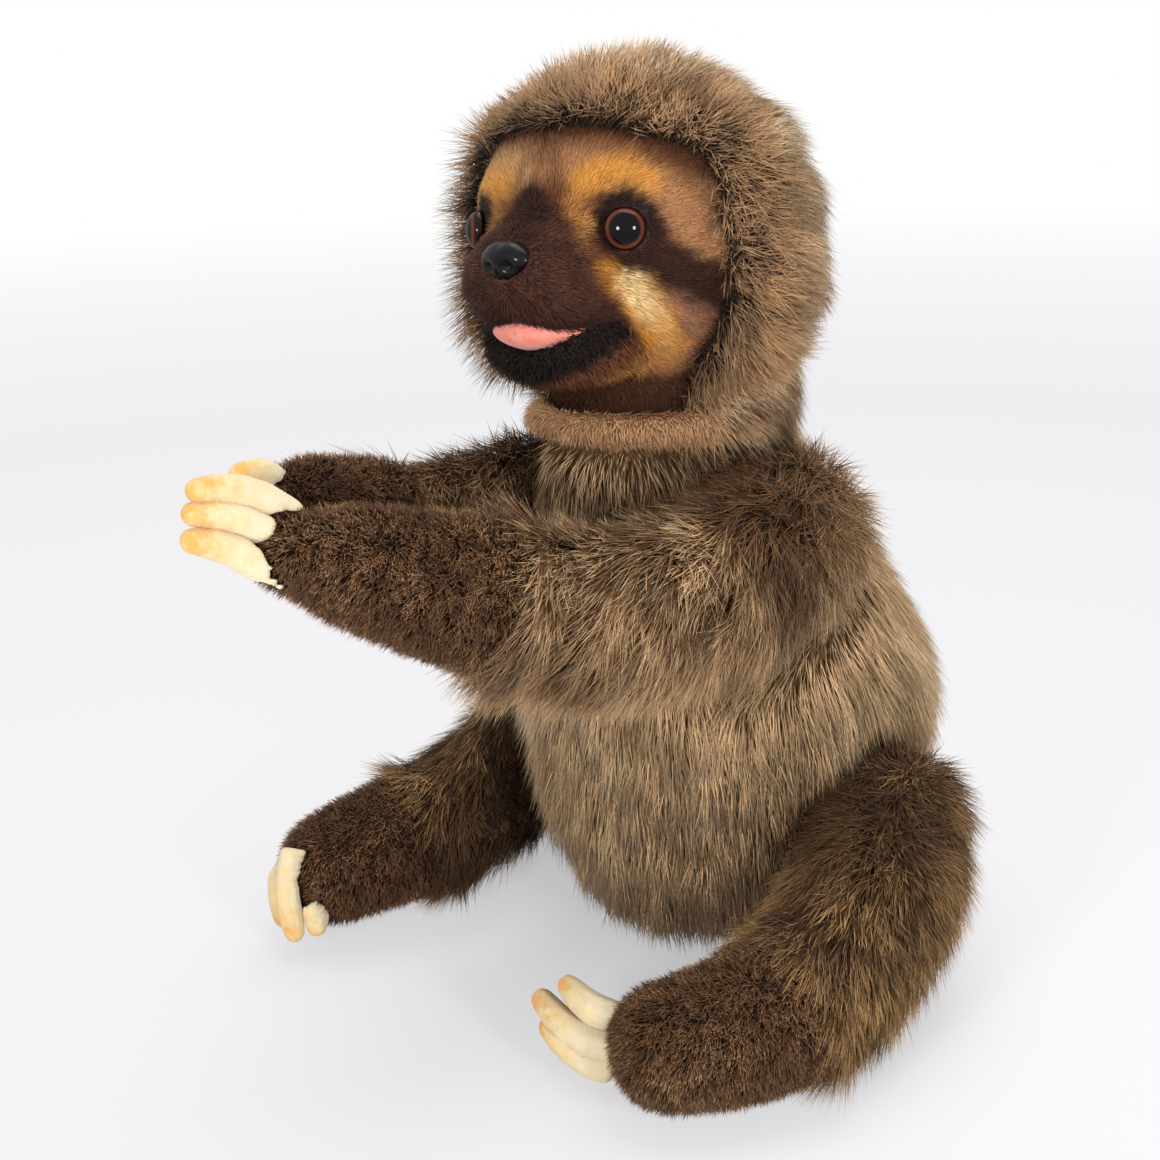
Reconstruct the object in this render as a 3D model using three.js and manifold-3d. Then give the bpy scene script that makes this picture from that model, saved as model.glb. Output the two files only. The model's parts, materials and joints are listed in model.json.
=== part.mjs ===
// A plush sloth that sits and reaches forward, stuffed, with a head and four limbs that turn on disc joints.
// Millimetres, +Z up. The toy looks along -Y, and its own left side is +X.
import * as THREE from "three";
import { mergeVertices } from "three/addons/utils/BufferGeometryUtils.js";
import Module from "manifold-3d";

// Driving dimensions
const TOY_HEIGHT = 300;
const LONG_PILE = 8;
const SHORT_PILE = 4;
const FACE_PILE = 2.5;
const MUZZLE_PILE = 3;
const TURNING_GAP = 0.6;
const FIT_GAP = 0.3;
const FLOOR_CUT = 0.5;
const CRUSHED_PILE = 3;

const DISC_THICKNESS = 2.5;
const STEM_RADIUS = 3;
const LOCK_RADIUS = 7;
const LOCK_THICKNESS = 2;
const STEM_END = 1.5;

const EYE_RADIUS = 6;
const EYE_DOME = 4.2;
const EYE_BEZEL = 1.2;
const EYE_SINK = 1.1;
const PEG_RADIUS = 2;
const PEG_LENGTH = 11;
const PEG_WASHER_RADIUS = 5.5;
const PEG_WASHER_THICKNESS = 1.5;
const PEG_WASHER_DEPTH = 5;
const NOSE_WIDTH = 19;
const NOSE_HEIGHT = 11;
const NOSE_DEPTH = 10;
const NOSTRIL_RADIUS = 1.7;
const THROAT_ROLL_RADIUS = 5.5;
const HAND_CLAW_RADIUS = 3.9;
const FOOT_CLAW_RADIUS = 4.4;
const PELLET_BAG_HEIGHT = 22;

// Angles, in degrees
const HEAD_TURN = 1;
const HEAD_ROLL = 3.2;
const EYE_TURN = 40.5;
const EYE_LIFT = 4;
const SHOULDER_TURN = 11.5;
const SHOULDER_TILT = 10;
const HIP_TURN = 6;
const HIP_TILT = -10;
const THROAT_ARC = 150;
const ARM_RANGE = [-15, 8];
const LEG_RANGE = [0, 25];

// Where things are, as shares of the toy's height
const NECK_SHARE = { x: 0, y: -0.11, z: 0.608 };
const SHOULDER_SHARE = { x: 0.116, y: -0.064, z: 0.5 };
const HIP_SHARE = { x: 0.207, y: -0.003, z: 0.175 };
const HEAD_SHARE = { x: 0, y: -0.133, z: 0.807 };

// Each joint's disc grows with the limb that it is sewn into
const NECK_DISC_SHARE = 0.057;
const SHOULDER_DISC_SHARE = 0.033;
const HIP_DISC_SHARE = 0.05;

// Soft forms, each a row of stations: centre x, y, z, then half-width and half-depth, as shares of the toy's height
const BODY_SHARES = [
  [0, -0.01, 0, 0.12, 0.14],
  [0, -0.003, 0.033, 0.173, 0.18],
  [0, 0.01, 0.133, 0.23, 0.237],
  [0, 0.013, 0.28, 0.252, 0.262],
  [0, -0.017, 0.42, 0.213, 0.227],
  [0, -0.067, 0.54, 0.157, 0.18],
  [0, -0.103, 0.64, 0.133, 0.15],
];
const LEFT_ARM_SHARES = [
  [0.157, -0.06, 0.505, 0.072, 0.097],
  [0.152, -0.15, 0.472, 0.075, 0.1],
  [0.133, -0.3, 0.47, 0.072, 0.093],
  [0.103, -0.435, 0.513, 0.065, 0.085],
  [0.068, -0.555, 0.563, 0.052, 0.065],
  [0.048, -0.613, 0.588, 0.042, 0.046],
];
const RIGHT_ARM_SHARES = [
  [0.157, -0.06, 0.505, 0.072, 0.097],
  [0.168, -0.14, 0.487, 0.075, 0.1],
  [0.165, -0.28, 0.493, 0.072, 0.09],
  [0.13, -0.4, 0.53, 0.065, 0.08],
  [0.08, -0.5, 0.578, 0.052, 0.063],
  [0.05, -0.55, 0.598, 0.042, 0.046],
];
const LEFT_LEG_SHARES = [
  [0.245, 0.005, 0.178, 0.093, 0.1],
  [0.277, -0.067, 0.137, 0.1, 0.103],
  [0.303, -0.183, 0.095, 0.09, 0.097],
  [0.29, -0.3, 0.08, 0.082, 0.082],
  [0.25, -0.365, 0.072, 0.073, 0.073],
];
const RIGHT_LEG_SHARES = [
  [0.24, 0, 0.177, 0.083, 0.1],
  [0.246, -0.093, 0.133, 0.09, 0.103],
  [0.25, -0.207, 0.093, 0.09, 0.097],
  [0.262, -0.317, 0.083, 0.083, 0.085],
  [0.272, -0.38, 0.077, 0.077, 0.078],
];

// The head's forms, in its own frame: half-width, front, back, top and bottom reach, and how full the cheeks are
const HEAD_REACH_SHARE = {
  across: 0.173,
  front: 0.14,
  back: 0.167,
  top: 0.155,
  bottom: 0.167,
  cheek: 0.09,
};
const HOOD_FRONT_SHARE = 0.163;
const NECK_STUB_SHARE = { across: 0.117, deep: 0.12, y: 0.04, start: 0.06, length: 0.16 };
const FACE_OPENING_SHARE = { across: 0.183, high: 0.137, square: 0.8, y: -0.033, z: -0.03 };
const MUZZLE_SHARES = [
  [0, -0.067, -0.027, 0.09, 0.057],
  [0, -0.12, -0.031, 0.09, 0.053],
  [0, -0.152, -0.04, 0.077, 0.044],
];
const JAW_SHARES = [
  [0, -0.06, -0.093, 0.08, 0.043],
  [0, -0.113, -0.095, 0.077, 0.038],
  [0, -0.138, -0.098, 0.063, 0.03],
];
const MUZZLE_TIP_SHARE = 0.027;
const JAW_TIP_SHARE = 0.024;
const MOUTH_SHARE = { y: -0.12, z: -0.089, across: 0.056, deep: 0.063, high: 0.0235 };
const NOSE_SHARE = { x: 0, y: -0.174, z: -0.013 };
const THROAT_SHARE = { z: -0.187, reach: 0.103, across: 0.112 };

// Claws: root x, y, z and tip x, y, z as shares of the toy's height, and how far each bows
const LEFT_HAND_CLAW_SHARES = [
  [0.042, -0.605, 0.619, 0.038, -0.69, 0.654],
  [0.05, -0.62, 0.599, 0.04, -0.697, 0.637],
  [0.058, -0.63, 0.569, 0.045, -0.703, 0.618],
];
const RIGHT_HAND_CLAW_SHARES = [
  [0.048, -0.535, 0.608, 0.026, -0.608, 0.641],
  [0.043, -0.547, 0.585, 0.027, -0.628, 0.627],
  [0.055, -0.548, 0.563, 0.036, -0.63, 0.604],
];
const LEFT_FOOT_CLAW_SHARES = [
  [0.215, -0.38, 0.087, 0.122, -0.38, 0.095],
  [0.2, -0.39, 0.056, 0.09, -0.387, 0.069],
  [0.197, -0.39, 0.034, 0.113, -0.4, 0.054],
];
const RIGHT_FOOT_CLAW_SHARES = [
  [-0.268, -0.43, 0.122, -0.246, -0.455, 0.024],
  [-0.294, -0.42, 0.114, -0.278, -0.449, 0.028],
  [-0.248, -0.411, 0.1, -0.231, -0.435, 0.029],
];
const CLAW_BOW_SHARE = 0.08;
const CLAW_TAPER_SHARES = [1, 1.02, 0.98, 0.9, 0.72];

// Where the short-pile paws begin along each limb, as a share of its length
const SLEEVE_SHARE = 0.56;
const FOOT_SHARE = 0.6;
const HAND_STEP_SHARE = 0.35;
const FOOT_STEP_SHARE = 0;
const ARM_CAP_SHARE = 0.95;
const LEG_CAP_SHARE = 0.9;
const OUTLINE_STEP_SHARE = 0.02;

// How finely the forms are cut
const BODY_SIDES = 22;
const LIMB_SIDES = 16;
const HEAD_SIDES = 20;
const SMALL_SIDES = 10;
const CLAW_SIDES = 8;
const STEPS_PER_STATION = 2;
const CAP_STEPS = 3;
const SMALL_CAP_STEPS = 3;
const DISC_SIDES = 18;
const STEM_SIDES = 10;
const EYE_SIDES = 14;
const ARC_STATIONS = 7;
const SWEEP_STEPS = 6;

const BEYOND = TOY_HEIGHT * 2;
const TIDY_LENGTH = FIT_GAP / 3;

// Colours
const LONG_FUR = new THREE.Color("#8a735a");
const DARK_FUR = new THREE.Color("#5d4838");
const SHORT_FUR = new THREE.Color("#53402f");
const FACE_FUR = new THREE.Color("#b98850");
const MUZZLE_FUR = new THREE.Color("#3a2820");
const LIP_PINK = new THREE.Color("#e08a7c");
const THROAT_TAN = new THREE.Color("#a88464");
const CLAW_CREAM = new THREE.Color("#f3e3b4");
const BLACK_PLASTIC = new THREE.Color("#121112");
const EYE_BROWN = new THREE.Color("#2a1510");
const JOINT_PLASTIC = new THREE.Color("#d8d4c8");
const STUFFING_WHITE = new THREE.Color("#efeee9");
const BAG_GREY = new THREE.Color("#b9b6ae");

const wasm = await Module();
wasm.setup();

const toRadians = THREE.MathUtils.degToRad;

// A closed geometry as a solid.
function solid(geometry) {
  const bare = geometry.clone();
  bare.deleteAttribute("normal");
  bare.deleteAttribute("uv");
  const merged = mergeVertices(bare, TOY_HEIGHT / 1e6);
  return new wasm.Manifold(
    new wasm.Mesh({
      numProp: 3,
      vertProperties: new Float32Array(merged.attributes.position.array),
      triVerts: new Uint32Array(merged.index.array),
    }),
  );
}

// A solid's largest body. The cuts can leave loose slivers beside it.
function largest(made) {
  return made
    .decompose()
    .reduce((best, body) => (body.volume() > best.volume() ? body : best));
}

function geometryOf(made) {
  const mesh = made.getMesh();
  const step = mesh.numProp;
  const points = new Float32Array(mesh.numVert * 3);
  for (let i = 0; i < mesh.numVert; i++) {
    points.set(mesh.vertProperties.subarray(i * step, i * step + 3), i * 3);
  }
  const geometry = new THREE.BufferGeometry();
  geometry.setAttribute("position", new THREE.BufferAttribute(points, 3));
  geometry.setIndex(new THREE.BufferAttribute(new Uint32Array(mesh.triVerts), 1));
  geometry.computeVertexNormals();
  return geometry;
}

// A share of the toy's height as a point.
function placed(share) {
  return new THREE.Vector3(share.x, share.y, share.z).multiplyScalar(TOY_HEIGHT);
}

// The stations of a share table as lengths.
function stationsOf(shares) {
  return shares.map(([x, y, z, across, deep]) => ({
    centre: new THREE.Vector3(x, y, z).multiplyScalar(TOY_HEIGHT),
    across: across * TOY_HEIGHT,
    deep: deep * TOY_HEIGHT,
  }));
}

// The smooth line of centres and of half-sizes through a row of stations.
function linesOf(stations) {
  return {
    centres: new THREE.CatmullRomCurve3(stations.map((s) => s.centre)),
    sizes: new THREE.CatmullRomCurve3(
      stations.map((s) => new THREE.Vector3(s.across, s.deep, 0)),
    ),
  };
}

// One ring of a soft form.
function ringOf(centre, tangent, across, deep, aside) {
  const u = aside.clone().addScaledVector(tangent, -aside.dot(tangent)).normalize();
  const v = new THREE.Vector3().crossVectors(tangent, u);
  return { centre, u, v, across, deep };
}

// The rings of a soft form: a rounded start, the stations, a rounded end. A cap of 0 leaves that end flat.
function ringsOf(stations, aside, caps, options = {}) {
  const [startCap, endCap] = caps;
  const { steps = STEPS_PER_STATION, capSteps = CAP_STEPS, upright } = options;
  const facing = (t) => upright ?? linesOf(stations).centres.getTangent(t).normalize();
  const { centres, sizes } = linesOf(stations);
  const spans = (stations.length - 1) * steps;
  const rings = [];
  const capRings = (at, reach, sign) => {
    const centre = centres.getPoint(at);
    const tangent = facing(at);
    const size = sizes.getPoint(at);
    const made = [];
    for (let k = 1; k < capSteps; k++) {
      const angle = (k / capSteps) * (Math.PI / 2);
      const away = centre.clone().addScaledVector(tangent, sign * reach * Math.cos(angle));
      made.push(
        ringOf(away, tangent, size.x * Math.sin(angle), size.y * Math.sin(angle), aside),
      );
    }
    return {
      pole: centre.clone().addScaledVector(tangent, sign * reach),
      made,
    };
  };
  const start = capRings(0, startCap, -1);
  const end = capRings(1, endCap, 1);
  if (startCap > 0) {
    rings.push(...start.made);
  }
  for (let i = 0; i <= spans; i++) {
    const t = i / spans;
    const size = sizes.getPoint(t);
    rings.push(
      ringOf(centres.getPoint(t), facing(t), size.x, size.y, aside),
    );
  }
  if (endCap > 0) {
    rings.push(...end.made.reverse());
  }
  return { rings, startPole: start.pole, endPole: end.pole };
}

// A closed skin of triangles over a row of rings.
function skinOver({ rings, startPole, endPole }, sides) {
  const points = [];
  const faces = [];
  points.push(startPole);
  for (const ring of rings) {
    for (let i = 0; i < sides; i++) {
      const angle = (i / sides) * Math.PI * 2;
      points.push(
        ring.centre
          .clone()
          .addScaledVector(ring.u, Math.cos(angle) * ring.across)
          .addScaledVector(ring.v, Math.sin(angle) * ring.deep),
      );
    }
  }
  points.push(endPole);
  const last = points.length - 1;
  const at = (ring, side) => 1 + ring * sides + (side % sides);
  for (let i = 0; i < sides; i++) {
    faces.push(0, at(0, i + 1), at(0, i));
    for (let r = 0; r + 1 < rings.length; r++) {
      faces.push(at(r, i), at(r, i + 1), at(r + 1, i + 1));
      faces.push(at(r, i), at(r + 1, i + 1), at(r + 1, i));
    }
    faces.push(last, at(rings.length - 1, i), at(rings.length - 1, i + 1));
  }
  const geometry = new THREE.BufferGeometry().setFromPoints(points);
  geometry.setIndex(faces);
  return geometry;
}

// The same closed form with every point moved outwards along its normal, or inwards for a negative amount.
function swollen(geometry, amount) {
  const moved = geometry.clone();
  moved.computeVertexNormals();
  const { position, normal } = moved.attributes;
  for (let i = 0; i < position.count; i++) {
    position.setXYZ(
      i,
      position.getX(i) + normal.getX(i) * amount,
      position.getY(i) + normal.getY(i) * amount,
      position.getZ(i) + normal.getZ(i) * amount,
    );
  }
  return moved;
}

// All space on the far side of a plane, as a block: the side its normal points to, from an offset on.
function beyondPlane(point, normal, offset) {
  const block = new THREE.BoxGeometry(BEYOND, BEYOND, BEYOND);
  const turn = new THREE.Quaternion().setFromUnitVectors(new THREE.Vector3(0, 0, 1), normal);
  block.translate(0, 0, BEYOND / 2 + offset);
  block.applyQuaternion(turn);
  block.translate(point.x, point.y, point.z);
  return solid(block);
}

// A round bar on an axis, from one offset along it to another.
function bar(point, axis, from, to, radius, sides) {
  const cylinder = new THREE.CylinderGeometry(radius, radius, to - from, sides);
  cylinder.rotateX(Math.PI / 2);
  cylinder.translate(0, 0, (from + to) / 2);
  cylinder.applyQuaternion(
    new THREE.Quaternion().setFromUnitVectors(new THREE.Vector3(0, 0, 1), axis),
  );
  cylinder.translate(point.x, point.y, point.z);
  return solid(cylinder);
}

const DOWN = new THREE.Vector3(0, 0, -1);
const UP = new THREE.Vector3(0, 0, 1);
const SIDEWAYS = new THREE.Vector3(1, 0, 0);
const FORWARD = new THREE.Vector3(0, -1, 0);
const ORIGIN = new THREE.Vector3(0, 0, 0);
const belowFloor = beyondPlane(ORIGIN, DOWN, 0);

// A joint's axis points out of the body, at its point on the seam between body and limb.
function axisOf(turn, tilt) {
  const a = toRadians(turn);
  const b = toRadians(tilt);
  return new THREE.Vector3(
    Math.cos(a) * Math.cos(b),
    -Math.sin(a) * Math.cos(b),
    Math.sin(b),
  );
}

function mirroredVector(v) {
  return new THREE.Vector3(-v.x, v.y, v.z);
}

const shoulder = {
  point: placed(SHOULDER_SHARE),
  axis: axisOf(SHOULDER_TURN, SHOULDER_TILT),
  discRadius: SHOULDER_DISC_SHARE * TOY_HEIGHT,
};
const hip = {
  point: placed(HIP_SHARE),
  axis: axisOf(HIP_TURN, HIP_TILT),
  discRadius: HIP_DISC_SHARE * TOY_HEIGHT,
};
const neck = {
  point: placed(NECK_SHARE),
  axis: UP.clone(),
  discRadius: NECK_DISC_SHARE * TOY_HEIGHT,
};
const mirroredJoint = (joint) => ({
  ...joint,
  point: mirroredVector(joint.point),
  axis: mirroredVector(joint.axis),
});

const joints = [
  { name: "neck", ...neck },
  { name: "shoulder_left", ...shoulder },
  { name: "shoulder_right", ...mirroredJoint(shoulder) },
  { name: "hip_left", ...hip },
  { name: "hip_right", ...mirroredJoint(hip) },
];

const HALF_GAP = TURNING_GAP / 2;
const WALL_END = HALF_GAP + CRUSHED_PILE;
const DISC_START = WALL_END + FIT_GAP;
const DISC_END = DISC_START + DISC_THICKNESS;
const LOCK_START = DISC_END + FIT_GAP;
const LOCK_END = LOCK_START + LOCK_THICKNESS;
const STEM_LENGTH = LOCK_END + STEM_END;

// The hole that a joint's stem takes through both skins.
function stemHole(joint) {
  return bar(joint.point, joint.axis, -STEM_LENGTH, DISC_END, STEM_RADIUS + FIT_GAP, STEM_SIDES);
}

// The recess for the disc in the stuffing of the limb.
function outerRecess(joint) {
  const radius = joint.discRadius + FIT_GAP;
  return bar(joint.point, joint.axis, 0, DISC_END + FIT_GAP, radius, DISC_SIDES);
}

// The recess for the counter disc and the lock in the stuffing of the body.
function innerRecess(joint) {
  const wide = bar(
    joint.point,
    joint.axis,
    -LOCK_START,
    0,
    joint.discRadius + FIT_GAP,
    DISC_SIDES,
  );
  const narrow = bar(
    joint.point,
    joint.axis,
    -STEM_LENGTH - FIT_GAP,
    -HALF_GAP,
    LOCK_RADIUS + FIT_GAP,
    DISC_SIDES,
  );
  return wide.add(narrow);
}

// The three plastic pieces of one disc joint.
function jointPieces(joint) {
  const disc = bar(joint.point, joint.axis, DISC_START, DISC_END, joint.discRadius, DISC_SIDES);
  const stem = bar(joint.point, joint.axis, -STEM_LENGTH, DISC_START, STEM_RADIUS, STEM_SIDES);
  const hole = bar(
    joint.point,
    joint.axis,
    -STEM_LENGTH,
    0,
    STEM_RADIUS + FIT_GAP,
    STEM_SIDES,
  );
  const counter = bar(joint.point, joint.axis, -DISC_END, -DISC_START, joint.discRadius, DISC_SIDES);
  const lock = bar(joint.point, joint.axis, -LOCK_END, -LOCK_START, LOCK_RADIUS, DISC_SIDES);
  return {
    disc: disc.add(stem),
    counter: counter.subtract(hole),
    lock: lock.subtract(hole),
  };
}

// A skin and its stuffing from one closed form, before any joint is cut.
function softLayers(form, wall) {
  return {
    outside: solid(form),
    inside: solid(swollen(form, -wall)),
    core: solid(swollen(form, -wall - FIT_GAP * 2)),
  };
}

const meshes = [];

function keep(name, made, colour, roughness, metalness = 0) {
  const material = new THREE.MeshStandardMaterial({ color: colour, roughness, metalness });
  const tidy = largest(made).asOriginal().simplify(TIDY_LENGTH);
  const mesh = new THREE.Mesh(geometryOf(tidy), material);
  mesh.name = name;
  meshes.push(mesh);
  return mesh;
}

// The convex outline of a row of points in a plane, by Andrew's monotone chain.
function hullOf(points) {
  const sorted = [...points].sort((a, b) => a.x - b.x || a.y - b.y);
  const half = (row) => {
    const kept = [];
    for (const p of row) {
      while (kept.length > 1) {
        const [a, b] = kept.slice(-2);
        if ((b.x - a.x) * (p.y - a.y) - (b.y - a.y) * (p.x - a.x) > 0) {
          break;
        }
        kept.pop();
      }
      kept.push(p);
    }
    return kept.slice(0, -1);
  };
  return [...half(sorted), ...half(sorted.reverse())];
}

// The room that a limb sweeps beside the body as it turns through its range: a prism on the joint's plane.
function sweptRoom({ form, joint, range, sign }, grow, offset) {
  const { position } = form.attributes;
  const across = new THREE.Vector3().crossVectors(UP, joint.axis).normalize();
  const upward = new THREE.Vector3().crossVectors(joint.axis, across);
  const flat = [];
  for (let i = 0; i < position.count; i++) {
    const away = new THREE.Vector3().fromBufferAttribute(position, i).sub(joint.point);
    for (let k = 0; k <= SWEEP_STEPS; k++) {
      const turn = toRadians(range[0] + ((range[1] - range[0]) * k) / SWEEP_STEPS) * sign;
      const p = away.clone().applyAxisAngle(joint.axis, turn);
      flat.push(new THREE.Vector2(p.dot(across), p.dot(upward)));
    }
  }
  const outline = widened(thinned(hullOf(flat)), grow);
  const prism = new THREE.ExtrudeGeometry(new THREE.Shape(outline), {
    depth: BEYOND / 2,
    bevelEnabled: false,
  });
  prism.translate(0, 0, offset);
  const frame = new THREE.Matrix4().makeBasis(across, upward, joint.axis);
  frame.setPosition(joint.point);
  return solid(prism.applyMatrix4(frame));
}

// An outline without the points that lie almost on top of the one before.
function thinned(outline) {
  const kept = [outline[0]];
  for (const p of outline) {
    if (p.distanceTo(kept[kept.length - 1]) > TOY_HEIGHT * OUTLINE_STEP_SHARE) {
      kept.push(p);
    }
  }
  return kept;
}

// A convex outline with every side moved outwards, so that wider and narrower rooms nest.
function widened(outline, amount) {
  const drawn = new wasm.CrossSection([outline.map((p) => [p.x, p.y])]);
  const [polygon] = drawn.offset(amount, "Miter").toPolygons();
  return polygon.map(([x, y]) => new THREE.Vector2(x, y));
}

// The outer form of a limb, on the side asked for.
function limbForm({ shares, joint, capShare, stands, mirrored }) {
  const stations = stationsOf(shares);
  const caps = [stations[0], stations[stations.length - 1]].map((s) => s.deep * capShare);
  const form = skinOver(ringsOf(stations, joint.axis, caps), LIMB_SIDES);
  if (stands) {
    form.translate(0, 0, -lowestOf(form) - FLOOR_CUT);
  }
  return mirrored ? mirroredGeometry(form) : form;
}

const arm = {
  joint: shoulder,
  capShare: ARM_CAP_SHARE,
  range: ARM_RANGE,
  pawShare: SLEEVE_SHARE,
  pawStep: SHORT_PILE * HAND_STEP_SHARE,
};
const leg = {
  joint: hip,
  capShare: LEG_CAP_SHARE,
  range: LEG_RANGE,
  pawShare: FOOT_SHARE,
  pawStep: SHORT_PILE * FOOT_STEP_SHARE,
  stands: true,
};

// A limb on the left side, or mirrored onto the right. Its joint turns it upwards for a positive angle.
function limbOf(limb, shares, mirrored) {
  return {
    ...limb,
    shares,
    mirrored,
    form: limbForm({ ...limb, shares, mirrored }),
    joint: mirrored ? mirroredJoint(limb.joint) : limb.joint,
    sign: mirrored ? 1 : -1,
  };
}

const leftArm = limbOf(arm, LEFT_ARM_SHARES, false);
const rightArm = limbOf(arm, RIGHT_ARM_SHARES, true);
const leftLeg = limbOf(leg, LEFT_LEG_SHARES, false);
const rightLeg = limbOf(leg, RIGHT_LEG_SHARES, true);
const limbs = [leftArm, rightArm, leftLeg, rightLeg];

// The body: a pear with a flat seat and a flat neck, with a flat seat for each limb to turn on.
function makeBody() {
  const stations = stationsOf(BODY_SHARES);
  stations[0].centre.z -= FLOOR_CUT;
  const form = skinOver(ringsOf(stations, SIDEWAYS, [0, 0], { upright: UP }), BODY_SIDES);
  let { outside, inside, core } = softLayers(form, LONG_PILE);
  outside = outside.subtract(belowFloor).subtract(beyondPlane(neck.point, UP, -HALF_GAP));
  inside = inside.subtract(beyondPlane(neck.point, UP, -WALL_END));
  core = core.subtract(beyondPlane(neck.point, UP, -WALL_END - FIT_GAP));
  for (const limb of limbs) {
    outside = outside.subtract(sweptRoom(limb, TURNING_GAP, -HALF_GAP));
    inside = inside.subtract(sweptRoom(limb, TURNING_GAP + CRUSHED_PILE, -WALL_END));
    core = core.subtract(
      sweptRoom(limb, TURNING_GAP + CRUSHED_PILE + FIT_GAP, -WALL_END - FIT_GAP),
    );
  }
  let skin = outside.subtract(inside);
  for (const joint of joints) {
    skin = skin.subtract(stemHole(joint));
    core = core.subtract(innerRecess(joint));
  }
  const bagTop = beyondPlane(ORIGIN, UP, PELLET_BAG_HEIGHT);
  const bagRoom = beyondPlane(ORIGIN, UP, PELLET_BAG_HEIGHT + FIT_GAP);
  keep("body_skin", skin, LONG_FUR, 0.95);
  keep("body_stuffing", core.intersect(bagRoom), STUFFING_WHITE, 1);
  keep("pellet_bag", core.subtract(bagTop), BAG_GREY, 0.9);
}

// A limb: a tapering sausage with a rounded end over the joint, a long-pile skin and a short-pile paw.
function makeLimb({ shares, joint, form, mirrored, pawShare, pawStep }) {
  const { centres } = linesOf(stationsOf(shares));
  const pawPoint = centres.getPoint(pawShare);
  const pawAxis = centres.getTangent(pawShare).normalize();
  if (mirrored) {
    pawPoint.x *= -1;
    pawAxis.x *= -1;
  }
  const inwards = joint.axis.clone().negate();
  const trim = (made, offset, floor) =>
    made
      .subtract(beyondPlane(joint.point, inwards, -offset))
      .subtract(beyondPlane(ORIGIN, DOWN, -floor));
  const layers = softLayers(form, LONG_PILE);
  const outside = trim(layers.outside, HALF_GAP, 0);
  const inside = trim(layers.inside, WALL_END, CRUSHED_PILE);
  const core = trim(layers.core, WALL_END + FIT_GAP, CRUSHED_PILE + FIT_GAP);
  const pawOutside = trim(solid(swollen(form, -pawStep)), HALF_GAP, 0);
  return {
    skin: outside
      .subtract(inside)
      .subtract(stemHole(joint))
      .subtract(beyondPlane(pawPoint, pawAxis, 0)),
    paw: pawOutside.subtract(inside).intersect(beyondPlane(pawPoint, pawAxis, FIT_GAP)),
    stuffing: core.subtract(outerRecess(joint)),
    cutter: solid(swollen(form, FIT_GAP - pawStep)),
  };
}

function lowestOf(geometry) {
  geometry.computeBoundingBox();
  return geometry.boundingBox.min.z;
}

function mirroredGeometry(geometry) {
  const flipped = geometry.clone();
  flipped.scale(-1, 1, 1);
  const index = flipped.index.array;
  for (let i = 0; i < index.length; i += 3) {
    [index[i + 1], index[i + 2]] = [index[i + 2], index[i + 1]];
  }
  return flipped;
}

// A claw: a stuffed velour finger from a root in the paw to a rounded tip, bowed a little.
function claw(share, radius, bowDirection) {
  const root = new THREE.Vector3(share[0], share[1], share[2]).multiplyScalar(TOY_HEIGHT);
  const tip = new THREE.Vector3(share[3], share[4], share[5]).multiplyScalar(TOY_HEIGHT);
  const length = root.distanceTo(tip);
  const last = CLAW_TAPER_SHARES.length - 1;
  const tipRadius = radius * CLAW_TAPER_SHARES[last];
  const along = tip.clone().sub(root).normalize();
  const end = tip.clone().addScaledVector(along, -tipRadius);
  const stations = CLAW_TAPER_SHARES.map((taper, i) => {
    const t = i / last;
    const bow = Math.sin(t * Math.PI) * length * CLAW_BOW_SHARE;
    return {
      centre: root.clone().lerp(end, t).addScaledVector(bowDirection, bow),
      across: radius * taper,
      deep: radius * taper,
    };
  });
  const aside = new THREE.Vector3().crossVectors(along, bowDirection).normalize();
  return skinOver(
    ringsOf(stations, aside, [0, tipRadius], { steps: 1, capSteps: SMALL_CAP_STEPS }),
    CLAW_SIDES,
  );
}

// A paw's claws, each cut by the paw and by the claws before it.
function makeClaws(name, shares, radius, bowDirection, paw, mirrored) {
  const before = [];
  shares.forEach((share, i) => {
    let form = claw(share, radius, bowDirection);
    if (mirrored) {
      form = mirroredGeometry(form);
    }
    let made = solid(form).subtract(paw).subtract(belowFloor);
    for (const other of before) {
      made = made.subtract(other);
    }
    before.push(solid(swollen(form, FIT_GAP)));
    keep(`${name}_${i + 1}`, made, CLAW_CREAM, 0.85);
  });
}

function makeArm(side, limb, clawShares) {
  const made = makeLimb(limb);
  keep(`arm_skin_${side}`, made.skin, LONG_FUR, 0.95);
  keep(`hand_sleeve_${side}`, made.paw, SHORT_FUR, 0.95);
  keep(`arm_stuffing_${side}`, made.stuffing, STUFFING_WHITE, 1);
  makeClaws(
    `hand_claw_${side}`,
    clawShares,
    HAND_CLAW_RADIUS,
    UP,
    made.cutter,
    limb.mirrored,
  );
}

function makeLeg(side, limb, clawShares) {
  const made = makeLimb(limb);
  keep(`leg_skin_${side}`, made.skin, DARK_FUR, 0.95);
  keep(`foot_skin_${side}`, made.paw, SHORT_FUR, 0.95);
  keep(`leg_stuffing_${side}`, made.stuffing, STUFFING_WHITE, 1);
  makeClaws(`foot_claw_${side}`, clawShares, FOOT_CLAW_RADIUS, FORWARD, made.cutter, false);
}

// The head's own frame: origin at its middle, looking along -Y.
const headPlace = new THREE.Matrix4()
  .makeTranslation(...placed(HEAD_SHARE).toArray())
  .multiply(new THREE.Matrix4().makeRotationZ(toRadians(HEAD_TURN)))
  .multiply(new THREE.Matrix4().makeRotationY(toRadians(-HEAD_ROLL)));

function inHead(geometry) {
  return solid(geometry.clone().applyMatrix4(headPlace));
}

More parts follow.
